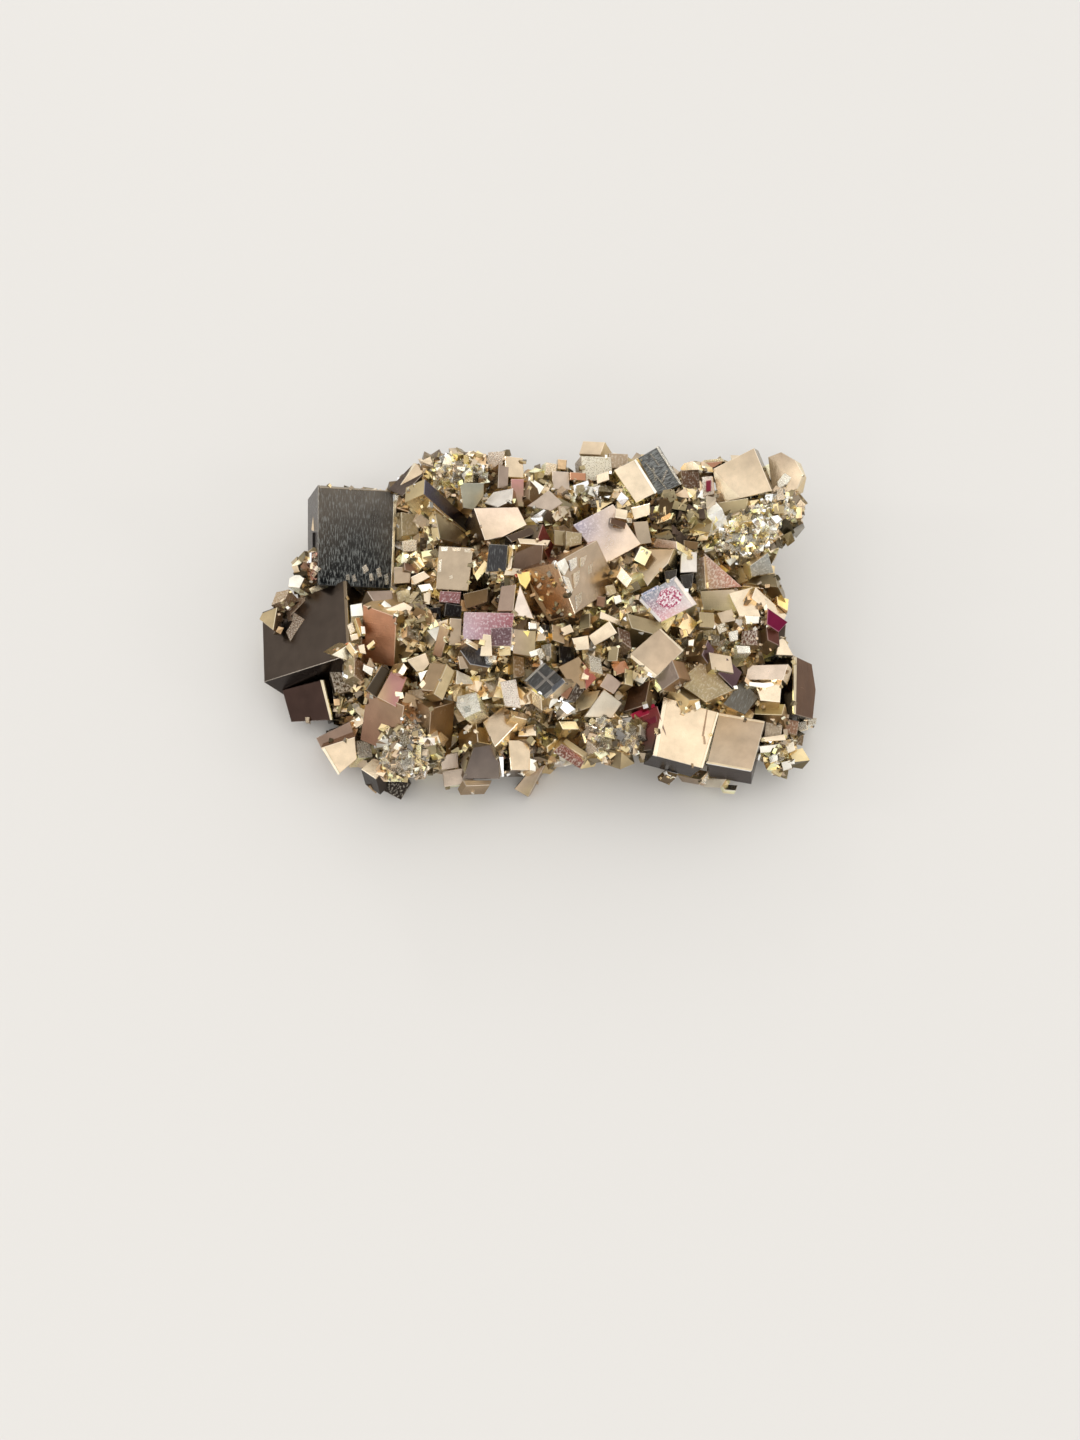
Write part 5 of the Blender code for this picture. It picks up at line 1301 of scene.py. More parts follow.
@dataclass(frozen=True)
class Weather:
    """What all finishes share: the tarnish, the pits, and how far the pattern is raised, in metres.

    Cloud is the slow change of tone over a crystal, pits are its small dark holes, and lines are
    the growth lines of the finishes that have steps.
    """

    cloud: Noise = Noise((450.0, 450.0, 450.0), 3.0)
    pits: Noise = Noise((6.0, 6.0, 1.0), 2.0)
    lines: Noise = Noise((0.05, 5.0, 1.0), 3.0, 0.8)
    grain_detail: float = 4.0
    grain_roughness: float = 0.7
    shade: Spread = (0.72, 0.56)
    worn_grain: float = 0.16
    fleck_edge: float = 0.10
    least_fleck: float = 0.12
    pit_levels: Spread = (0.70, 0.76)
    pit_share: float = 0.55
    pit_light: float = 0.45
    cloud_relief: float = 0.3
    bump_strength: float = 0.9
    bump_distance: float = 0.00012
    cloud_roughness: Spread = (-0.08, 0.16)
    fleck_roughness: float = 0.12


WEATHER = Weather()


@dataclass
class Dresser:
    """What makes the crystals' materials, one for each finish."""

    made: dict[Finish, bpy.types.Material] = field(default_factory=dict)

    def material(self, finish: Finish) -> bpy.types.Material:
        """The material of a finish, made when it is first asked for."""
        if finish not in self.made:
            self.made[finish] = self.crystal(finish)
        return self.made[finish]

    @staticmethod
    def crystal(finish: Finish) -> bpy.types.Material:
        """Make the metallic material of a finish.

        Args:
            finish: The finish.

        Returns:
            A material whose colour and wear come from the faces themselves.
        """
        look = finish.value
        graph = Graph(f"pyrite_{finish.name.lower()}")
        attribute = {"attribute_type": "GEOMETRY", "attribute_name": "tone"}
        colour = graph.node("ShaderNodeAttribute", attribute, {}, "Color")
        wear = graph.node("ShaderNodeAttribute", attribute, {}, "Alpha")
        place = graph.node("ShaderNodeUVMap", {"uv_map": "face"}, {})
        spot = graph.node("ShaderNodeTexCoord", {}, {}, "Object")
        cells = (look.rate, look.rate / look.reach, 1.0)
        cloud = graph.noise(spot, WEATHER.cloud)
        grain = graph.noise(place, Noise(cells, WEATHER.grain_detail, WEATHER.grain_roughness))
        pits = graph.noise(place, WEATHER.pits)
        shown = (grain + wear * WEATHER.worn_grain).ramp(look.level, look.level + WEATHER.fleck_edge)
        fleck = shown * (look.strength * wear + WEATHER.least_fleck * look.strength)
        pit = pits.ramp(*WEATHER.pit_levels) * WEATHER.pit_share
        shade = cloud * WEATHER.shade[1] + WEATHER.shade[0]
        base = graph.scaled(colour, shade)
        flecked = graph.blend(fleck, base, look.fleck.linear()[:3] + (1.0,))
        dark = graph.scaled(colour, WEATHER.pit_light)
        pitted = graph.blend(pit * (1 - fleck), flecked, dark)
        height = grain * look.relief + cloud * WEATHER.cloud_relief
        if look.steps:
            height = height + graph.noise(place, WEATHER.lines) * look.steps
        raised = {"Height": height, "Strength": WEATHER.bump_strength, "Distance": WEATHER.bump_distance}
        bump = graph.node("ShaderNodeBump", {}, raised)
        least, gain = WEATHER.cloud_roughness
        rough = cloud * gain + (look.roughness + least) + fleck * WEATHER.fleck_roughness
        shader = graph.node("ShaderNodeBsdfPrincipled", {}, {
            "Base Color": pitted, "Metallic": look.metal, "Roughness": rough, "Normal": bump,
        })
        return graph.finish(shader)


@dataclass
class Cluster:
    """What the parts of the cluster share: the solid that they fill and what dresses them."""

    solid: BVHTree
    low: Vector
    high: Vector
    dresser: Dresser = field(default_factory=Dresser)

    @classmethod
    def from_node(cls, node: bpy.types.Object) -> Cluster:
        """Read the solid.

        Args:
            node: Its node in the frame, in metres.

        Returns:
            The cluster, in millimetres.
        """
        spots = [vertex.co / MM for vertex in node.data.vertices]
        faces = [tuple(face.vertices) for face in node.data.polygons]
        low = Vector(tuple(min(spot[axis] for spot in spots) for axis in range(3)))
        high = Vector(tuple(max(spot[axis] for spot in spots) for axis in range(3)))
        return cls(BVHTree.FromPolygons(spots, faces), low, high)

    def contains(self, spot: Vector) -> bool:
        """Find whether a spot lies inside the solid.

        Args:
            spot: The spot.

        Returns:
            Whether a line up from it crosses the solid's surface an odd number of times.
        """
        crossings = 0
        start = spot
        while (hit := self.solid.ray_cast(start, UP)[0]) is not None:
            crossings += 1
            start = hit + UP * CLEARANCE
        return crossings % 2 == 1

    def boxed(self, spot: Vector) -> Vector:
        """The spot, or the nearest one inside the solid's box."""
        return Vector(tuple(min(max(part, low), high) for part, low, high in zip(spot, self.low, self.high)))

    def box_holds(self, spots: Sequence[Vector]) -> bool:
        """Whether all the spots lie inside the solid's box, or under its base."""
        return all(
            low <= part <= high or (axis == 2 and part < low)
            for spot in spots
            for axis, (part, low, high) in enumerate(zip(spot, self.low, self.high))
        )


@dataclass
class ShowingSide:
    """The crystals that are placed by their faces in the picture."""

    facets: tuple[Facet, ...] = (
        LEFT_END + FRONT_LEFT + FRONT_MIDDLE + FRONT_RIGHT + MIDDLE_LEFT + MIDDLE_RIGHT + TOP_LEFT + TOP_RIGHT
    )
    flakes: dict[str, tuple[Flake, ...]] = field(default_factory=FLAKES.copy)
    seed: int = 5

    def build(self, cluster: Cluster) -> Shape:
        """Gather the crystals and their chips in one shape.

        Args:
            cluster: The solid, whose box none of them leaves.

        Returns:
            The shape.
        """
        rng = random.Random(self.seed)
        shape = Shape()
        for facet in self.facets:
            facet.add_to(shape, rng)
        hosts = {facet.name: facet for facet in self.facets}
        for host, flakes in self.flakes.items():
            for flake in flakes:
                flake.add_to(shape, hosts[host], rng)
        shape.spots = [cluster.boxed(spot) if spot.z > 0 else spot for spot in shape.spots]
        return shape


@dataclass(frozen=True)
class Palette:
    """The tones and finishes that a patch of small crystals draws from, with the size of the crystals."""

    tones: tuple[Tone, ...]
    finishes: tuple[Finish, ...]
    small: float
    large: float
    lights: Spread = (0.92, 1.22)

    def draw(self, rng: random.Random) -> tuple[Tone, Finish, float]:
        """A tone, a finish and a size, small ones more often than large ones."""
        tone = rng.choice(self.tones).lit(rng.uniform(*self.lights))
        return tone, rng.choice(self.finishes), self.small + (self.large - self.small) * rng.random() ** 2


CLEFT = Palette(
    (OLIVE, KHAKI, KHAKI.lit(1.2), TAN, TAUPE, STRAW, STRAW, CREAM, CHAMPAGNE, BEIGE, WHITE),
    (CLEAN, CLEAN, SATIN, ETCHED), 0.4, 2.2,
)
SPARKLE = Palette((WHITE, CREAM, STRAW, GOLD, SILVER, BEIGE, BEIGE, KHAKI), (CLEAN, CLEAN, SUGAR), 0.4, 1.4)
BRILLIANT = Palette((WHITE, WHITE, CREAM, STRAW, GOLD, BEIGE, KHAKI), (CLEAN, CLEAN, SUGAR), 0.4, 1.3)
OLIVINE = Palette((OLIVE, KHAKI, KHAKI, STRAW, BRONZE, UMBER), (CLEAN, SATIN), 0.7, 2.0)
SILVERY = Palette((SILVER, MIST, TAUPE, BEIGE, STRAW, KHAKI), (SUGAR, CLEAN), 0.4, 1.4)
UMBRAL = Palette((KHAKI, OLIVE, TAN, BRONZE, KHAKI, STRAW, TAUPE), (CLEAN, SATIN, ETCHED), 0.6, 2.0)
PINKISH = Palette((ROSE, TAUPE, BEIGE, SALMON, BROWN), (SUGAR, CLEAN), 0.5, 1.5)
BACK = Palette(
    (KHAKI, BRONZE, BEIGE, TAN, OLIVE, TAUPE, STRAW, BROWN, CHAMPAGNE, STEEL),
    (CLEAN, SATIN, SLATE, BLOOM, ETCHED), 0.8, 2.4,
)


@dataclass(frozen=True)
class Druse:
    """A patch of small crystals: its middle and half widths on the picture plane, and its crystals."""

    name: str
    middle: Point
    across: float
    up: float
    height: float
    count: int
    size: float
    palette: Palette

    def holds(self, point: Point, margin: float = 1.3) -> bool:
        """Whether a point of the picture lies on the patch."""
        middle = VIEW.on_picture(*self.middle)
        across = (point[0] - middle[0]) / (VIEW.plane_scale * self.across * margin)
        down = (point[1] - middle[1]) / (VIEW.plane_scale * self.up * margin)
        return across ** 2 + down ** 2 < 1


@dataclass
class Druses:
    """The patches of small crystals: their larger members, as the solid has them.

    Each turns on from the one before it by the golden angle, and the outer ones stand lower.
    """

    patches: tuple[Druse, ...] = (
        Druse("knob", (-36.7, 7.6), 1.8, 2.0, 13.0, 5, 2.8, PINKISH),
        Druse("front_druse", (-22.2, -22.3), 2.9, 4.6, 11.8, 10, 3.6, SILVERY),
        Druse("dome", (-13.7, 23.3), 3.7, 2.3, 18.0, 10, 3.4, SPARKLE),
        Druse("middle_druse", (12.0, -19.8), 3.7, 2.2, 12.0, 8, 3.3, SILVERY),
        Druse("olive_field", (22.3, 15.6), 3.6, 2.8, 18.8, 9, 3.4, OLIVINE),
        Druse("right_field", (34.6, 13.3), 4.5, 3.2, 16.3, 10, 4.0, BRILLIANT),
        Druse("edge_field", (39.2, 17.4), 2.5, 2.2, 14.8, 6, 3.3, BRILLIANT),
        Druse("right_druse", (39.3, -22.0), 2.3, 2.3, 6.5, 6, 3.2, SPARKLE),
        Druse("left_druse", (-20.6, -1.2), 2.0, 3.0, 17.2, 5, 3.0, UMBRAL),
    )
    fall: float = 1.5
    golden_turn: float = 2.4
    stray: Spread = (-0.4, 0.4)
    sizes: Spread = (0.8, 1.15)
    seed: int = 8

    def build(self, rng: random.Random) -> Shape:
        """Gather the larger members in one shape.

        Args:
            rng: The draw that the solid was made with, for their places and sizes.

        Returns:
            The shape.
        """
        shape = Shape()
        own = random.Random(self.seed)
        for patch in self.patches:
            for index in range(patch.count):
                angle = index * self.golden_turn + rng.uniform(*self.stray)
                spread = math.sqrt((index + 0.5) / patch.count)
                across = patch.middle[0] + patch.across * spread * math.cos(angle)
                up = patch.middle[1] + patch.up * spread * math.sin(angle)
                height = patch.height - self.fall * spread ** 2
                centre = VIEW.at_height(VIEW.on_picture(across, up), height)
                edges = cube_edges(patch.size * rng.uniform(*self.sizes), rng)
                tone, finish, _ = patch.palette.draw(own)
                add_cube(shape, centre, edges, tone, finish, own)
        return shape

    def patch_at(self, point: Point) -> Optional[Druse]:
        """The patch at a point of the picture."""
        return next((patch for patch in self.patches if patch.holds(point)), None)


@dataclass
class OreLump:
    """The massive ore that the crystals root in, whose skin follows them a step below.

    The walls are rows of the skin, each by its level and its inset. Inside them the skin runs in
    rings to the middle, a crevice's depth under the lowest crystal within reach. The walls are
    drawn a little darker and the crevices much lighter: painted light against the shade that falls
    in the crevices. The roughness is a rate and a size for each of two noises.
    """

    half_length: float = 41.0
    half_depth: float = 27.5
    fullness: float = 3.2
    middle: Point = (0.73, 0.8)
    core: Vector = Vector((0.73, 0.8, 4.0))
    walls: tuple[Spread, ...] = ((-2.0, 0.92), (0.6, 0.935), (2.5, 0.95), (4.5, 0.95), (6.5, 0.94))
    roof_inset: float = 0.92
    sectors: int = 120
    rings: int = 34
    tuck: float = 0.05
    ceiling: float = 60.0
    feelers: int = 8
    reach: float = 1.6
    crevice: float = 1.6
    roughness: tuple[Spread, ...] = ((0.9, 0.5), (2.3, 0.22))
    wall_light: float = 0.85
    crevice_painted_light: float = 1.8
    khaki: Spread = (0.8, 0.5)
    khaki_rate: float = 0.35
    grain_way: Vector = Vector((1.0, 0.2, 0.1))

    def at(self, bearing: float, level: float, inset: float) -> Vector:
        """A point of the lump's outline, an oblong with full corners.

        Args:
            bearing: The turn round the middle, in radians.
            level: The height over the base.
            inset: The share of the full size that it is drawn at.

        Returns:
            The point.
        """
        power = 2 / self.fullness
        across = math.copysign(abs(math.cos(bearing)) ** power, math.cos(bearing))
        deep = math.copysign(abs(math.sin(bearing)) ** power, math.sin(bearing))
        return Vector((
            self.half_length * inset * across + self.middle[0],
            self.half_depth * inset * deep + self.middle[1],
            level,
        ))

    def tucked_in(self, spot: Vector, crystals: BVHTree) -> Vector:
        """Draw a spot of the wall in towards the core until the crystals hide it.

        Args:
            spot: The spot.
            crystals: The crystals of the showing side and the patches.

        Returns:
            The spot, drawn in until it is hidden or has no further to go.
        """
        drawn_in = 0.0
        while drawn_in < 1.0 and not VIEW.hides(spot, crystals):
            spot = spot.lerp(self.core, self.tuck)
            drawn_in += self.tuck
        return spot

    def crevice_level(self, spot: Vector, crystals: BVHTree) -> float:
        """Find the level of the skin at a spot: a little under the lowest crystal near it.

        Args:
            spot: The spot, whose own level counts where no crystal is near.
            crystals: The crystals of the showing side and the patches.

        Returns:
            The level.
        """
        turns = [math.tau * number / self.feelers for number in range(self.feelers)]
        ways = [Vector((math.cos(turn), math.sin(turn), 0.0)) * self.reach for turn in turns]
        levels = []
        for way in [Vector()] + ways:
            start = spot + way
            start.z = self.ceiling
            top = crystals.ray_cast(start, DOWN)[0]
            if top is not None:
                levels.append(top.z)
        return min(levels, default=spot.z + self.crevice) - self.crevice

    def row(self, level: Optional[float], inset: float, crystals: BVHTree, cluster: Cluster) -> list[Vector]:
        """Lay out one row of the skin round the lump.

        Args:
            level: Its height over the base, or none where it follows the crystals.
            inset: The share of the full outline that it is drawn at.
            crystals: The crystals of the showing side and the patches.
            cluster: The solid, in whose box it stays.

        Returns:
            Its corners.
        """
        follows = level is None
        row = []
        for sector in range(self.sectors):
            bearing = math.tau * sector / self.sectors
            spot = self.at(bearing, self.walls[-1][0] if follows else level, inset)
            coarse, fine = (noise.noise_vector(spot * rate) * size for rate, size in self.roughness)
            if follows:
                spot.z = self.crevice_level(spot, crystals)
            else:
                spot = self.tucked_in(spot, crystals)
            spot = spot + (coarse + fine)
            row.append(cluster.boxed(spot) if follows or level > 0 else spot)
        return row

    def build(self, crystals: BVHTree, cluster: Cluster) -> Shape:
        """Gather the lump's skin.

        Args:
            crystals: The crystals of the showing side and the patches.
            cluster: The solid, in whose box the skin stays.

        Returns:
            The shape, from the foot to the middle of the top.
        """
        shape = Shape()
        levels: list[tuple[Optional[float], float]] = list(self.walls)
        levels += [(None, self.roof_inset * (1 - ring / self.rings)) for ring in range(self.rings)]
        rows = [shape.add(self.row(level, inset, crystals, cluster)) for level, inset in levels]
        for number, (lower, upper) in enumerate(zip(rows, rows[1:])):
            # The crevices' painted light: the skin between the crystals is drawn lighter against the shade
            # there.
            light = self.wall_light if number < len(self.walls) else self.crevice_painted_light
            for sector in range(self.sectors):
                after = (sector + 1) % self.sectors
                corners = (lower[sector], lower[after], upper[after], upper[sector])
                spot = shape.spots[corners[0]]
                share = self.khaki[0] + self.khaki[1] * noise.noise(spot * self.khaki_rate)
                tone = BRONZE.toward(KHAKI, share).lit(light)
                shape.face(corners, [tone] * 4, ORE, self.grain_way, (spot.x, spot.y))
        for row in (rows[0][::-1], rows[-1]):
            shape.face(row, [UMBER] * len(row), ORE, ALONG, (0.0, 0.0))
        return shape


def ends_round(spot: Vector, reach: float, ways: Sequence[Vector] = SIDEWAYS + (UP,)) -> list[Vector]:
    """The spots that lie some way from another, to its sides and over it."""
    return [spot + way * reach for way in ways]


@dataclass(frozen=True)
class Skirt:
    """A row of crystals round the cluster: its bearings, its level, and how many are tried."""

    first: float
    last: float
    level: float
    tries: int
    size: float


@dataclass
class BackCrystals:
    """The crystals round the back, the ends and the foot, where the picture shows nothing.

    Blocks stand where the solid has them, riders sit on the blocks, and crumbs lie where a level
    line towards the middle meets a shape. Riders and crumbs stay behind the showing side.
    """

    skirts: tuple[Skirt, ...] = (
        Skirt(0.02, 3.12, 11.5, 15, 6.0),
        Skirt(-0.15, 3.30, 7.0, 18, 7.0),
        Skirt(-0.30, 3.45, 2.5, 16, 8.0),
        Skirt(3.25, 6.15, 6.0, 22, 6.0),
        Skirt(3.25, 6.15, 2.0, 22, 5.0),
        Skirt(-0.70, 0.40, 5.5, 16, 5.0),
        Skirt(2.70, 3.90, 5.0, 16, 5.0),
    )
    lump_draws: int = 9 * 26 * 3
    lump_spread: Spread = (-0.7, 0.7)
    block_spacing: Spread = (0.2, 0.8)
    block_levels: Spread = (-1.2, 1.2)
    block_sizes: Spread = (0.6, 1.15)
    block_inset: float = 0.93
    block_core: float = 0.46
    block_lights: Spread = (0.9, 1.12)
    block_flank: Spread = (0.4, 0.9)
    block_seed: int = 11
    base_slack: float = 0.05
    heart: Vector = Vector((0.7, 0.8, 4.0))
    riders: int = 5
    rider_depth: float = 0.48
    rider_size: float = 1.2
    rider_reach: float = 0.9
    crumbs: int = 5200
    crumb_seed: int = 23
    crumb_levels: tuple[float, float, float] = (0.2, 17.0, 1.3)
    crumb_start: float = 80.0
    crumb_drops: Spread = (0.0, 12.0)
    crumb_goals: Point = (34.0, 14.0)
    crumb_size: float = 1.1
    crumb_stretch: Spread = (0.7, 1.5)
    crumb_broken: float = 0.1

    def build(self, rng: random.Random, lump: OreLump, cluster: Cluster, showing: BVHTree) -> Shape:
        """Gather the blocks that the solid has and the riders on them.

        Args:
            rng: The draw that the solid was made with, after its drusy patches.
            lump: The ore lump, whose foot they follow.
            cluster: The solid, which holds every block of the rows that was kept.
            showing: The showing side and the patches.

        Returns:
            The shape.
        """
        for _ in range(self.lump_draws):
            rng.uniform(*self.lump_spread)
        shape = Shape()
        own = random.Random(self.block_seed)
        kept = self.kept_blocks(rng, lump, cluster)
        for centre, edges in kept:
            self.add_block(shape, centre, edges, own)
            for _ in range(self.riders):
                self.add_rider(shape, centre, edges, own, cluster, showing)
        log.info("%d crystals of the rows are kept", len(kept))
        return shape

    def kept_blocks(
        self, rng: random.Random, lump: OreLump, cluster: Cluster
    ) -> list[tuple[Vector, tuple[Vector, ...]]]:
        """Find the blocks of the rows that the solid has.

        Args:
            rng: The draw that the solid was made with.
            lump: The ore lump, whose foot they follow.
            cluster: The solid.

        Returns:
            The middle and the edges of each.
        """
        kept = []
        for skirt in self.skirts:
            for index in range(skirt.tries):
                share = index + rng.uniform(*self.block_spacing)
                bearing = skirt.first + (skirt.last - skirt.first) * share / skirt.tries
                centre = lump.at(bearing, skirt.level + rng.uniform(*self.block_levels), self.block_inset)
                edges = cube_edges(skirt.size * rng.uniform(*self.block_sizes), rng)
                signs = itertools.product((-self.block_core, self.block_core), repeat=3)
                corners = [corner_at(centre, edges, sign) for sign in signs]
                if all(cluster.contains(spot) for spot in corners if spot.z > self.base_slack):
                    kept.append((centre, edges))
        return kept

    def add_block(self, shape: Shape, centre: Vector, edges: Sequence[Vector], rng: random.Random) -> None:
        """Add one crystal of a row, with broken edges on the side that shows most.

        Args:
            shape: What it is added to.
            centre: Its middle.
            edges: Its three edges.
            rng: The draw for its tones and its finish.
        """
        outward = centre - self.heart
        order = sorted(edges, key=lambda edge: -abs(edge.normalized().dot(outward.normalized())))
        out = order[0] if order[0].dot(outward) > 0 else -order[0]
        ring = ((-0.5, -0.5), (0.5, -0.5), (0.5, 0.5), (-0.5, 0.5))
        outline = [centre + out * 0.5 + order[1] * first + order[2] * second for first, second in ring]
        if (outline[1] - outline[0]).cross(outline[3] - outline[0]).dot(out) < 0:
            outline.reverse()
        tone, finish, _ = BACK.draw(rng)
        tones = [tone.lit(rng.uniform(*self.block_lights)) for _ in outline]
        flank = tone.toward(KHAKI, self.block_flank[0]).lit(self.block_flank[1])
        add_prism(shape, outline, -out, tones, flank, finish, rng)

    def add_rider(
        self,
        shape: Shape,
        centre: Vector,
        edges: Sequence[Vector],
        rng: random.Random,
        cluster: Cluster,
        showing: BVHTree,
    ) -> None:
        """Add a small crystal on the surface of a block, if the showing side hides it.

        Args:
            shape: What it is added to.
            centre: The block's middle.
            edges: The block's three edges.
            rng: The draw for its place and its look.
            cluster: The solid, whose box holds it.
            showing: The showing side and the patches.
        """
        place = [rng.uniform(-0.5, 0.5) for _ in edges]
        place[rng.randrange(3)] = rng.choice((-self.rider_depth, self.rider_depth))
        spot = corner_at(centre, edges, place)
        tone, finish, size = BACK.draw(rng)
        small = cube_edges(size * self.rider_size, rng)
        reach = max(edge.length for edge in small) * self.rider_reach
        if stays_behind(ends_round(spot, reach), cluster, showing):
            add_cube(shape, spot, small, tone, finish, rng)

    def add_crumbs(self, shape: Shape, trees: Sequence[BVHTree], cluster: Cluster, showing: BVHTree) -> None:
        """Add small crystals round the walls, each where a level line towards the middle meets a shape.

        Args:
            shape: What they are added to.
            trees: The shapes that they may stand on.
            cluster: The solid, whose box holds them.
            showing: The showing side and the patches.
        """
        rng = random.Random(self.crumb_seed)
        least, rise, power = self.crumb_levels
        for _ in range(self.crumbs):
            bearing = rng.uniform(0, math.tau)
            level = least + rise * rng.random() ** power
            start = Vector((
                self.crumb_start * math.cos(bearing),
                self.crumb_start * math.sin(bearing),
                level + rng.uniform(*self.crumb_drops),
            ))
            goal = Vector((*(rng.uniform(-half, half) for half in self.crumb_goals), level))
            tone, finish, size = CLEFT.draw(rng)
            edges = [
                edge * rng.uniform(*self.crumb_stretch) for edge in cube_edges(size * self.crumb_size, rng)
            ]
            way = (goal - start).normalized()
            hits = [hit for hit in (tree.ray_cast(start, way) for tree in trees) if hit[0] is not None]
            if not hits:
                continue
            spot = min(hits, key=lambda hit: hit[3])[0]
            if stays_behind(ends_round(spot, size), cluster, showing):
                add_cube(shape, spot, edges, tone, finish, rng, self.crumb_broken)


def stays_behind(ends: Sequence[Vector], cluster: Cluster, showing: BVHTree) -> bool:
    """Whether spots lie in the solid's box and the showing side hides them all."""
    return cluster.box_holds(ends) and all(VIEW.hides(end, showing) for end in ends)


@dataclass
class GapCrystals:
    """The small crystals between the larger ones, each where a line of sight meets the lump or a patch.

    The lines of sight are drawn from a grid over the picture, twice over on the patches. The walls
    of the larger crystals take few crystals, and only those of a small size.
    """

    left: int = 252
    right: int = 822
    top: int = 436
    bottom: int = 802
    pitch: float = 2.8
    draws: int = 2
    stretch: Spread = (0.6, 1.5)
    wall_size: float = 0.8
    bare_share: float = 0.75
    sunk: float = 0.15
    broken: float = 0.14
    seed: int = 17

    def build(
        self,
        showing: BVHTree,
        fronts: set[int],
        patches: BVHTree,
        lump: BVHTree,
        druses: Druses,
        cluster: Cluster,
    ) -> Shape:
        """Gather the small crystals.

        Args:
            showing: The showing side.
            fronts: Numbers of its faces on which none of them stands.
            patches: The larger members of the drusy patches.
            lump: The ore lump.
            druses: The patches, which have palettes of their own.
            cluster: The solid, whose box holds them.

        Returns:
            The shape.
        """
        rng = random.Random(self.seed)
        shape = Shape()
        columns = range(int((self.right - self.left) / self.pitch))
        rows = range(int((self.bottom - self.top) / self.pitch))
        for row, column, again in itertools.product(rows, columns, range(self.draws)):
            point = (
                self.left + (column + rng.random()) * self.pitch,
                self.top + (row + rng.random()) * self.pitch,
            )
            patch = druses.patch_at(point)
            if again and not patch:
                continue
            palette = patch.palette if patch else CLEFT
            tone, finish, size = palette.draw(rng)
            edges = [edge * rng.uniform(*self.stretch) for edge in cube_edges(size, rng)]
            line = VIEW.line(point).normalized()
            hits = [tree.ray_cast(VIEW.eye, line) for tree in (showing, patches, lump)]
            depths = [hit[3] if hit[0] is not None else math.inf for hit in hits]
            nearest = depths.index(min(depths))
            if depths[nearest] == math.inf:
                continue
            on_wall = nearest == 0
            if on_wall and (hits[0][2] in fronts or size > self.wall_size or rng.random() < self.bare_share):
                continue
            spot = hits[nearest][0] + line * size * self.sunk
            if cluster.box_holds(ends_round(spot, size, SIDEWAYS)):
                add_cube(shape, spot, edges, tone, finish, rng, self.broken)
        return shape


@dataclass(frozen=True)
class Light:
    """A soft light: its place and size in metres, its power in watts and its tint."""

    name: str
    place: tuple[float, float, float]
    size: float
    power: float
    tint: tuple[float, float, float]


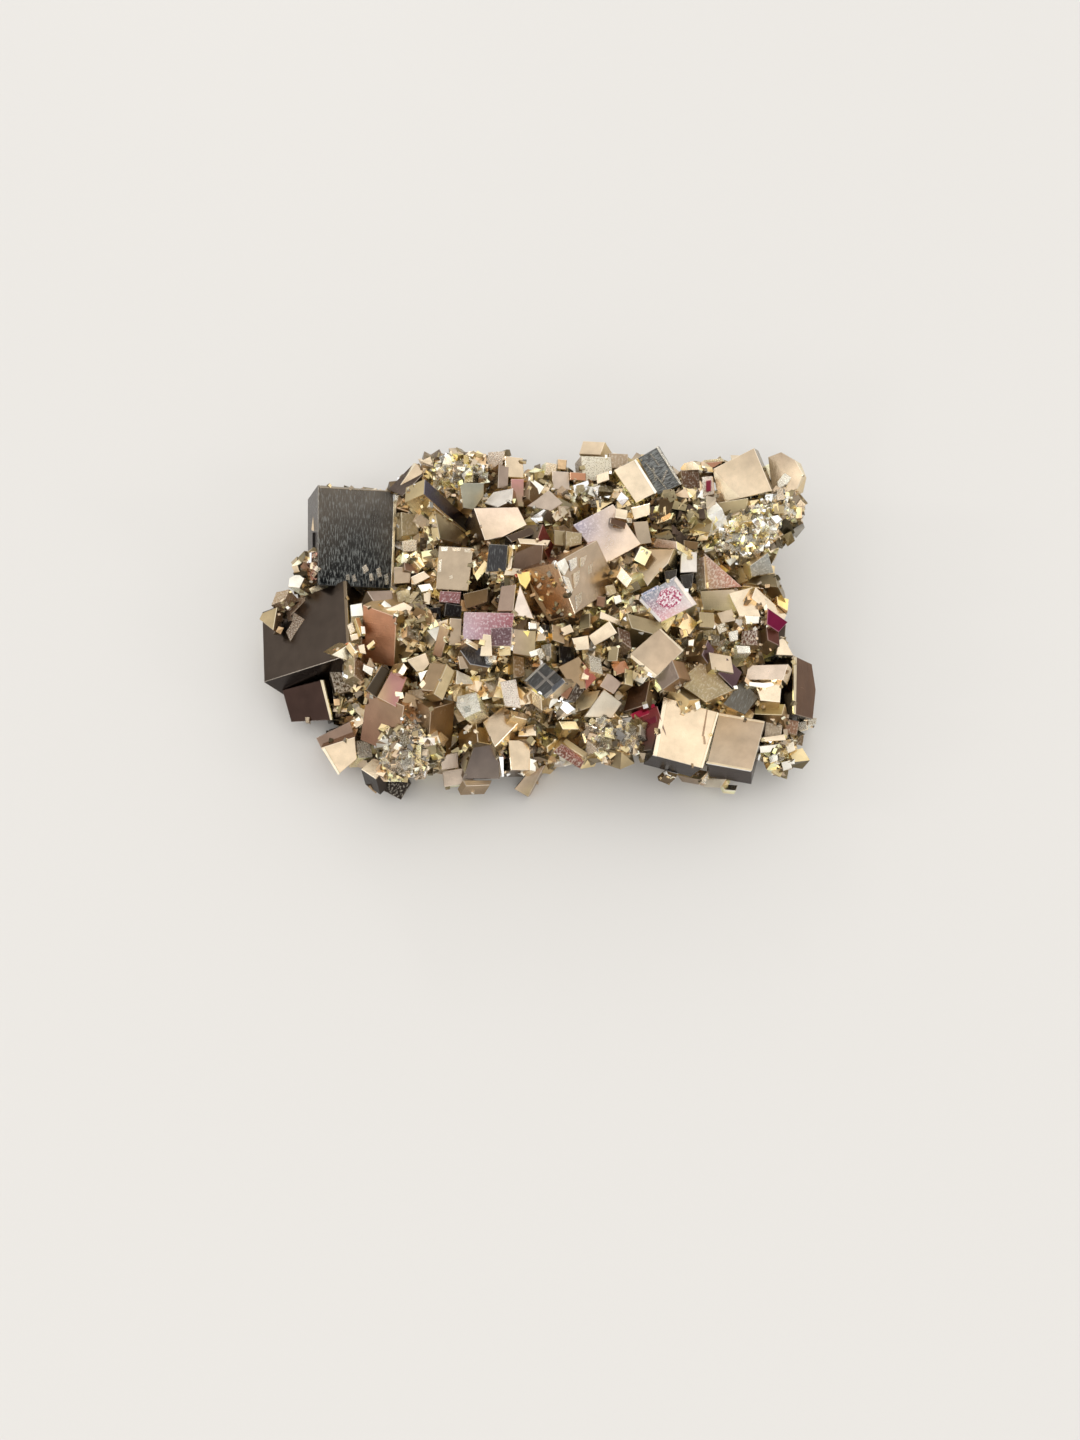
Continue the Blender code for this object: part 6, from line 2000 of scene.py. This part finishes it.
@dataclass
class Studio:
    """The floor, the lights and the camera, in metres.

    The glints are small lights that only a few of the small crystals mirror to the camera.
    """

    soft: tuple[Light, ...] = (
        Light("key", (0.50, 0.42, 0.64), 0.8, 0.7, (1.0, 0.98, 0.96)),
        Light("fill", (-0.70, -0.05, 0.60), 0.4, 0.2, (1.0, 0.98, 0.97)),
    )
    glints: tuple[tuple[float, float, float], ...] = (
        (-0.20, 0.76, 0.35),
        (0.76, -0.20, 0.35),
        (-0.46, -0.64, 0.35),
        (-0.78, 0.04, 0.35),
        (-0.06, -0.55, 0.66),
    )
    glint_size: float = 0.11
    glint_power: float = 0.42
    glint_tint: tuple[float, float, float] = (1.0, 0.99, 0.97)
    floor_half: float = 1.5
    floor_tone: Colour = (0.62, 0.60, 0.575, 1.0)
    floor_roughness: Spread = (0.62, 0.08)
    floor_mottle: Noise = Noise((40.0, 40.0, 40.0), 2.0)
    sky: Colour = (0.92, 0.92, 0.91, 1.0)
    sky_strength: float = 1.24
    sensor_height: float = 36.0
    lens: float = 26.0
    nearest: float = 0.01

    def build(self) -> None:
        """Set all of them up."""
        self.add_floor()
        self.add_sky()
        glints = [
            Light(f"glint_{number}", place, self.glint_size, self.glint_power, self.glint_tint)
            for number, place in enumerate(self.glints)
        ]
        for light in (*self.soft, *glints):
            self.add_light(light)
        self.add_camera()

    def add_floor(self) -> None:
        """Add the pale floor, a little uneven in its gloss."""
        half = self.floor_half
        corners = [(-half, -half, 0), (half, -half, 0), (half, half, 0), (-half, half, 0)]
        mesh = bpy.data.meshes.new("floor")
        mesh.from_pydata(corners, [], [(0, 1, 2, 3)])
        graph = Graph("floor")
        spot = graph.node("ShaderNodeTexCoord", {}, {}, "Object")
        least, gain = self.floor_roughness
        rough = graph.noise(spot, self.floor_mottle) * gain + least
        shader = graph.node(
            "ShaderNodeBsdfPrincipled", {}, {"Base Color": self.floor_tone, "Roughness": rough}
        )
        mesh.materials.append(graph.finish(shader))
        floor = bpy.data.objects.new("floor", mesh)
        bpy.context.scene.collection.objects.link(floor)

    def add_sky(self) -> None:
        """Light the scene evenly from all round."""
        world = bpy.data.worlds.new("studio")
        world.use_nodes = True
        background = world.node_tree.nodes["Background"]
        background.inputs["Color"].default_value = self.sky
        background.inputs["Strength"].default_value = self.sky_strength
        bpy.context.scene.world = world

    @staticmethod
    def add_light(light: Light) -> None:
        """Add a light that faces the cluster."""
        data = bpy.data.lights.new(light.name, "AREA")
        data.size = light.size
        data.energy = light.power
        data.color = light.tint
        lamp = bpy.data.objects.new(light.name, data)
        lamp.location = light.place
        lamp.rotation_euler = (-Vector(light.place)).to_track_quat("-Z", "Y").to_euler()
        bpy.context.scene.collection.objects.link(lamp)

    def add_camera(self) -> None:
        """Put the camera where the picture was taken from."""
        data = bpy.data.cameras.new("camera")
        data.sensor_fit = "VERTICAL"
        data.sensor_height = self.sensor_height
        data.lens = self.lens
        data.clip_start = self.nearest
        camera = bpy.data.objects.new("camera", data)
        camera.location = VIEW.eye * MM
        camera.rotation_euler = (math.pi / 2 - VIEW.pitch, 0.0, 0.0)
        bpy.context.scene.collection.objects.link(camera)
        bpy.context.scene.camera = camera
        bpy.context.scene.view_settings.view_transform = "Standard"


def main() -> None:
    """Build the cluster and its studio."""
    logging.basicConfig(level=logging.INFO, format="%(name)s: %(message)s", stream=sys.stdout)
    noise.seed_set(NOISE_SEED)
    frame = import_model()
    cluster = Cluster.from_node(frame["nodes"][NODE])
    draw = random.Random(SOLID_SEED)
    showing = ShowingSide().build(cluster)
    druses = Druses()
    members = druses.build(draw)
    crystals = showing.joined(members).tree()
    lump = OreLump()
    skin = lump.build(crystals, cluster)
    rows = BackCrystals()
    back = rows.build(draw, lump, cluster, crystals)
    rows.add_crumbs(back, (crystals, skin.tree(), back.tree()), cluster, crystals)
    gaps = GapCrystals().build(showing.tree(), showing.fronts, members.tree(), skin.tree(), druses, cluster)
    shapes = {
        "showing_side": showing,
        "drusy_patches": members,
        "ore_lump": skin,
        "back_crystals": back,
        "gap_crystals": gaps,
    }
    for name, shape in shapes.items():
        shape.piece(name, cluster.dresser)
    Studio().build()


if __name__ == "__main__":
    main()
